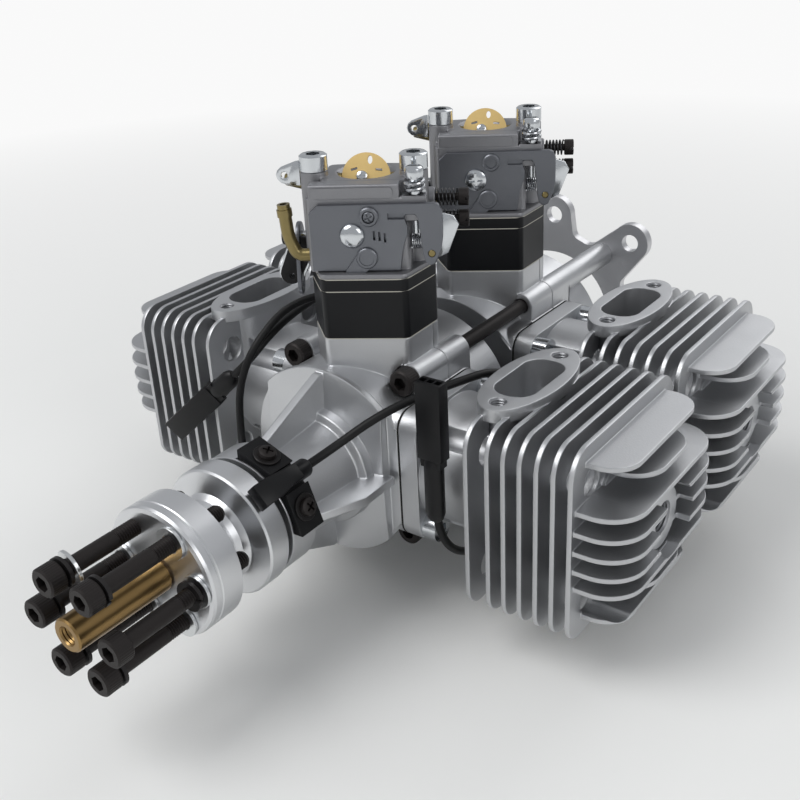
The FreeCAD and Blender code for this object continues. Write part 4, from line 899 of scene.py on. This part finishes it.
def springs(module, place):
    """Bright springs of the idle screw and the cover's arm, and dark ones under the needles."""
    bm = bmesh.new()
    wire = 1.5 * settings().spring_wire / MM
    coil(bm, 3.3, wire, 83.15, 88.2, 2.4, Matrix.Translation(IDLE_SCREW))
    coil(bm, 2.4, 0.55, 0.05, 4.1, 5.5, facing((14.0, -8.4, 68.6), (1, 0, 0)))
    fit(bm, place, module + "_bright_springs", "spring_steel", "engine", shared(module, "carb_springs"))
    bm = bmesh.new()
    for z in NEEDLE_HEIGHTS:
        coil(bm, 2.7, 0.6, 0.05, 6.95, 5.5, facing((20.5, 8.0, z), (1, 0, 0)))
    fit(bm, place, module + "_needle_springs", "spring_steel", "engine", finish_name="black_spring")


def idle_screw(module, place):
    """Slotted idle screw."""
    bm = bmesh.new()
    lathe(bm, [(0, 91.4), (1.9, 91.4), (2.6, 90.9), (2.8, 90.1), (2.8, 88.9), (2.6, 88.2), (1.5, 88.2),
               (1.5, 83.2), (1.1, 83.0), (1.1, 71.5), (0, 71.5)], Matrix.Translation(IDLE_SCREW))
    cutter = bmesh.new()
    block(cutter, (12.0, -9.9, 90.3), (20.0, -9.1, 94.0))
    carve(bm, cutter)
    fit(bm, place, module + "_idle_screw", "bright_zinc", "engine", shared(module, "adjuster_screws"))


def needles(module, place):
    """Two slotted mixture needles on the right."""
    bm, cutter = bmesh.new(), bmesh.new()
    for z in NEEDLE_HEIGHTS:
        lathe(bm, [(0, -15.5), (1.2, -15.5), (1.2, 0), (2.5, 0), (2.7, 0.25), (2.7, 3.0), (2.45, 3.2), (0, 3.2)],
              facing((27.5, 8.0, z), (1, 0, 0)), steps=36)
        block(cutter, (29.6, 4.0, z - 0.45), (32.0, 12.0, z + 0.45))
    carve(bm, cutter)
    fit(bm, place, module + "_mixture_needles", "black_oxide_steel", "engine")


def gaskets(module, place):
    """Thin gaskets between the intake's blocks, which show as pale lines."""
    hexagon = ((12.8, -15.6), (20.8, 0), (12.8, 15.6), (-12.8, 15.6), (-18.3, 0), (-12.8, -15.6))
    for z in JOINT_HEIGHTS:
        bm = bmesh.new()
        prism(bm, [(u * 1.004, w * 1.004) for u, w in hexagon], Matrix.Translation((0, 0, z - 0.12)), 0.24)
        soften(bm, 2.5, 4, only=along(2))
        drill(bm, 7.6, 4, Matrix.Translation((0, BORE_W, z)), 40)
        fit(bm, place, module + "_gasket_%d" % z, "gasket_paper", "engine", finish_name="pale_gasket")


def cover_arm(module, place):
    """Brass pin of the cover's arm, and the bright tongue behind it."""
    bm = bmesh.new()
    lathe(bm, [(0, 0.2), (0.9, 0.2), (1.1, 0.0), (1.1, -5.0), (0, -5.0)], facing(ARM_PIN, FORWARD))
    fit(bm, place, module + "_arm_pin", "brass", "engine")
    outline = [(19.0, 64.6), (22.8, 64.2), (25.3, 65.4), (28.6, 74.0), (27.2, 76.6), (24.0, 77.5), (19.0, 77.5)]
    bm = flat_piece(outline, standing(0, -10.6, 0), 0.9, 0.2)
    fit(bm, place, module + "_arm_tongue", "bright_zinc", "engine")


def choke_tilt():
    """Place of the open choke plate in the intake frame."""
    return Matrix.Translation((0, BORE_W, CHOKE_Z)) @ Matrix.Rotation(math.radians(CHOKE_OPEN), 4, "X")


def choke_disc(module, place):
    """Round choke plate with its air hole, its slots and its screw."""
    bm = bmesh.new()
    rod(bm, 7.5, 0.8, Matrix.Identity(4), 72)
    cutter = bmesh.new()
    rod(cutter, 1.0, 4, Matrix.Translation((1.2, 5.3, 0)) @ Matrix.Diagonal((0.75, 1.25, 1, 1)))
    for a, b, turn in ((-3.7, 2.6, 0.25), (3.9, 2.3, -0.1)):
        slot = Matrix.Translation((a, b, 0)) @ Matrix.Rotation(turn, 4, "Z")
        block(cutter, (-1.05, -0.35, -2), (1.05, 0.35, 2), slot)
    carve(bm, cutter)
    tilted = place @ choke_tilt()
    fit(bm, tilted, module + "_choke_disc", "yellow_brass_plate", module + "_choke", [module + "_choke_plate"])
    bm = bmesh.new()
    stamp(bm, cross_screw(1.8, 1.2, 1.2), tilted @ Matrix.Translation((-1.2, 0.3, 0.4)))
    store(bm, module + "_choke_screw", "bright_zinc", module + "_choke")


def choke_spindle(module, place):
    """Choke spindle, flat under its plate, with the cone and arm on its left end."""
    bm = bmesh.new()
    lathe(bm, [(0, 0), (1.5, 0), (1.8, 0.3), (3.3, 6.2), (3.3, 7.6), (1.6, 7.6), (1.6, 37.0), (0, 37.0)],
          facing((-25.0, BORE_W, CHOKE_Z), (1, 0, 0)))
    cutter = bmesh.new()
    block(cutter, (-7.5, -3.0, -0.4), (7.5, 3.0, 3.0), choke_tilt())
    carve(bm, cutter)
    fit(bm, place, module + "_choke_spindle", "brass", module + "_choke", [module + "_choke_shaft"])
    bm = bmesh.new()
    outline = [(-19.5, 83.4), (-19.5, 91.0), (-20.8, 90.8), (-25.2, 89.2), (-26.4, 88.2), (-26.9, 86.8),
               (-26.5, 85.4), (-25.4, 84.3), (-23.0, 83.6)]
    prism(bm, outline, standing(0, 0.4, 0), 1.0)
    drill(bm, 1.0, 6, facing((-24.3, 0.4, 86.7), REARWARD))
    soften(bm, 0.2, angle=40)
    fit(bm, place, module + "_choke_arm", "bright_zinc", module + "_choke")


def throttle_lever(module, place):
    """Throttle lever, and the black link with its bright rim in front of it."""
    body = module + "_throttle"
    arm = bmesh.new()
    reach = 15.0
    side = Matrix(((0, 0, 1, 0), (1, 0, 0, 0), (0, 1, 0, 0), (0, 0, 0, 1)))
    prism(arm, capsule(4.5, 3.2, (0, reach)), side, 1.3)
    drill(arm, 1.0, 6, facing((0, 0, reach), (1, 0, 0)), 20)
    soften(arm, 0.2, angle=60)
    turned = Matrix.Translation((-22.8, BORE_W, THROTTLE_Z)) @ Matrix.Rotation(math.radians(THROTTLE_HANG), 4, "X")
    fit(arm, place @ turned, module + "_throttle_arm", "zinc_cover", body, [module + "_throttle_lever"])
    reach = (-3.9, -8.4)
    link, rim = bmesh.new(), bmesh.new()
    prism(link, capsule(3.8, 3.4, reach), standing(-21.3, 0.6, 63.6), 1.6)
    prism(rim, capsule(4.4, 4.1, reach), standing(-21.3, 2.2, 63.6), 0.9)
    drill(link, 0.8, 6, facing((-24.9, 1.0, 54.6), REARWARD), 20)
    for piece in (link, rim):
        tidy(piece)
        soften(piece, 0.25)
    fit(rim, place, module + "_throttle_rim", "bright_zinc", body)
    disc = bmesh.new()
    lathe(disc, [(0, 0), (2.4, 0), (2.7, 0.3), (2.7, 2.8), (2.4, 3.1), (0, 3.1)],
          facing((-24.4, BORE_W, THROTTLE_Z), (-1, 0, 0)))
    stamp(disc, as_mesh(link))
    fit(disc, place, module + "_throttle_link", "black_plastic", body)


class ENGINE_OT_materials(bpy.types.Operator):
    """Give every remaining part of the engine its finish"""

    bl_idname = "engine.materials"
    bl_label = "Finishes"

    def execute(self, context):
        slots = {row["node"]: row["material_slot"] for row in frame["record"]["subparts"]}
        for name, node in frame["nodes"].items():
            made = FINISHES[slots[name]]
            if not node.material_slots:
                node.data.materials.append(made)
            for held in node.material_slots:
                held.link = "OBJECT"
                held.material = made
        return {"FINISHED"}


class ENGINE_OT_stage(bpy.types.Operator):
    """Set a pale floor, soft studio light and a white background"""

    bl_idname = "engine.stage"
    bl_label = "Stage"

    def execute(self, context):
        floor_mesh = bpy.data.meshes.new("floor")
        bm = bmesh.new()
        bmesh.ops.create_grid(bm, x_segments=1, y_segments=1, size=4.0,
                              matrix=Matrix.Translation((*ENGINE_CENTRE[:2], cad_low.z - 0.0002)))
        bm.to_mesh(floor_mesh)
        bm.free()
        floor = add_object("floor", floor_mesh)
        board = finish("painted_pale_board", "#ECECEA", 0.0, 0.75)
        fade_out(board.node_tree)
        floor_mesh.materials.append(board)
        lamp("key", (-0.35, -0.75, 0.95), 0.7, 7.4)
        lamp("side", (1.05, -0.35, 0.55), 0.6, 2.6)
        lamp("back", (0.1, 0.9, 0.8), 0.8, 3.0)
        world = bpy.data.worlds.new("studio")
        world.use_nodes = True
        tree = world.node_tree
        tree.nodes.clear()
        path = add_node(tree, "ShaderNodeLightPath")
        # Metals mirror a dimmer studio than the camera sees, so pale faces keep their shading
        dim = add_node(tree, "ShaderNodeBackground", {"Color": (0.80, 0.82, 0.85, 1), "Strength": 0.55})
        bright = add_node(tree, "ShaderNodeBackground", {"Color": BACKGROUND, "Strength": 1.0})
        both = add_node(tree, "ShaderNodeMixShader", {"Fac": path.outputs["Is Camera Ray"],
                                                      1: dim.outputs["Background"], 2: bright.outputs["Background"]})
        add_node(tree, "ShaderNodeOutputWorld", {"Surface": both.outputs["Shader"]})
        context.scene.world = world
        context.scene.view_settings.view_transform = "Standard"
        return {"FINISHED"}


def fade_out(tree):
    """Let the floor pass into the white background for the camera, clear of the engine and its shadow."""
    output = next(n for n in tree.nodes if n.type == "OUTPUT_MATERIAL")
    board = output.inputs["Surface"].links[0].from_socket
    place = add_node(tree, "ShaderNodeTexCoord").outputs["Object"]
    away = add_node(tree, "ShaderNodeVectorMath", {0: place, 1: (*ENGINE_CENTRE[:2], cad_low.z)},
                    operation="DISTANCE")
    far = add_node(tree, "ShaderNodeMapRange", {"Value": away.outputs["Value"], "From Min": 0.25, "From Max": 0.8})
    path = add_node(tree, "ShaderNodeLightPath")
    seen = add_node(tree, "ShaderNodeMath", {0: far.outputs["Result"], 1: path.outputs["Is Camera Ray"]},
                    operation="MULTIPLY")
    white = add_node(tree, "ShaderNodeEmission", {"Color": BACKGROUND, "Strength": 1.0})
    both = add_node(tree, "ShaderNodeMixShader", {"Fac": seen.outputs["Value"], 1: board,
                                                  2: white.outputs["Emission"]})
    tree.links.new(both.outputs["Shader"], output.inputs["Surface"])


def lamp(name, place, size, power):
    """Square soft light that faces the engine."""
    data = bpy.data.lights.new(name, "AREA")
    data.size = size
    data.energy = power
    turn = (Vector(place) - Vector(ENGINE_CENTRE)).to_track_quat("Z", "Y").to_matrix().to_4x4()
    add_object(name, data).matrix_world = Matrix.Translation(place) @ turn


class ENGINE_PT_panel(bpy.types.Panel):
    """Lists the engine's steps and settings"""

    bl_idname = "ENGINE_PT_panel"
    bl_label = "Flat four-cylinder engine"
    bl_space_type = "VIEW_3D"
    bl_region_type = "UI"
    bl_category = "Engine"

    def draw(self, context):
        for group in (context.scene.engine_sizes, context.scene.engine_colours):
            for key in group.__annotations__:
                self.layout.prop(group, key)
        for step in STEPS:
            self.layout.operator(step.bl_idname)


STEPS = (ENGINE_OT_camera, ENGINE_OT_cords, ENGINE_OT_stage, ENGINE_OT_materials, ENGINE_OT_castings,
         ENGINE_OT_threads, ENGINE_OT_hub, ENGINE_OT_bolts, ENGINE_OT_sensors, ENGINE_OT_carburettors)
CLASSES = (EngineSizes, EngineColours, *STEPS, ENGINE_PT_panel)


def register():
    for made in CLASSES:
        bpy.utils.register_class(made)
    bpy.types.Scene.engine_sizes = bpy.props.PointerProperty(type=EngineSizes)
    bpy.types.Scene.engine_colours = bpy.props.PointerProperty(type=EngineColours)


def unregister():
    del bpy.types.Scene.engine_colours
    del bpy.types.Scene.engine_sizes
    for made in reversed(CLASSES):
        bpy.utils.unregister_class(made)


def main():
    """Run every step in order."""
    register()
    FINISHES.update(make_finishes(bpy.context.scene.engine_colours))
    for step in STEPS:
        group, name = step.bl_idname.split(".")
        getattr(getattr(bpy.ops, group), name)()


if __name__ == "__main__":
    main()
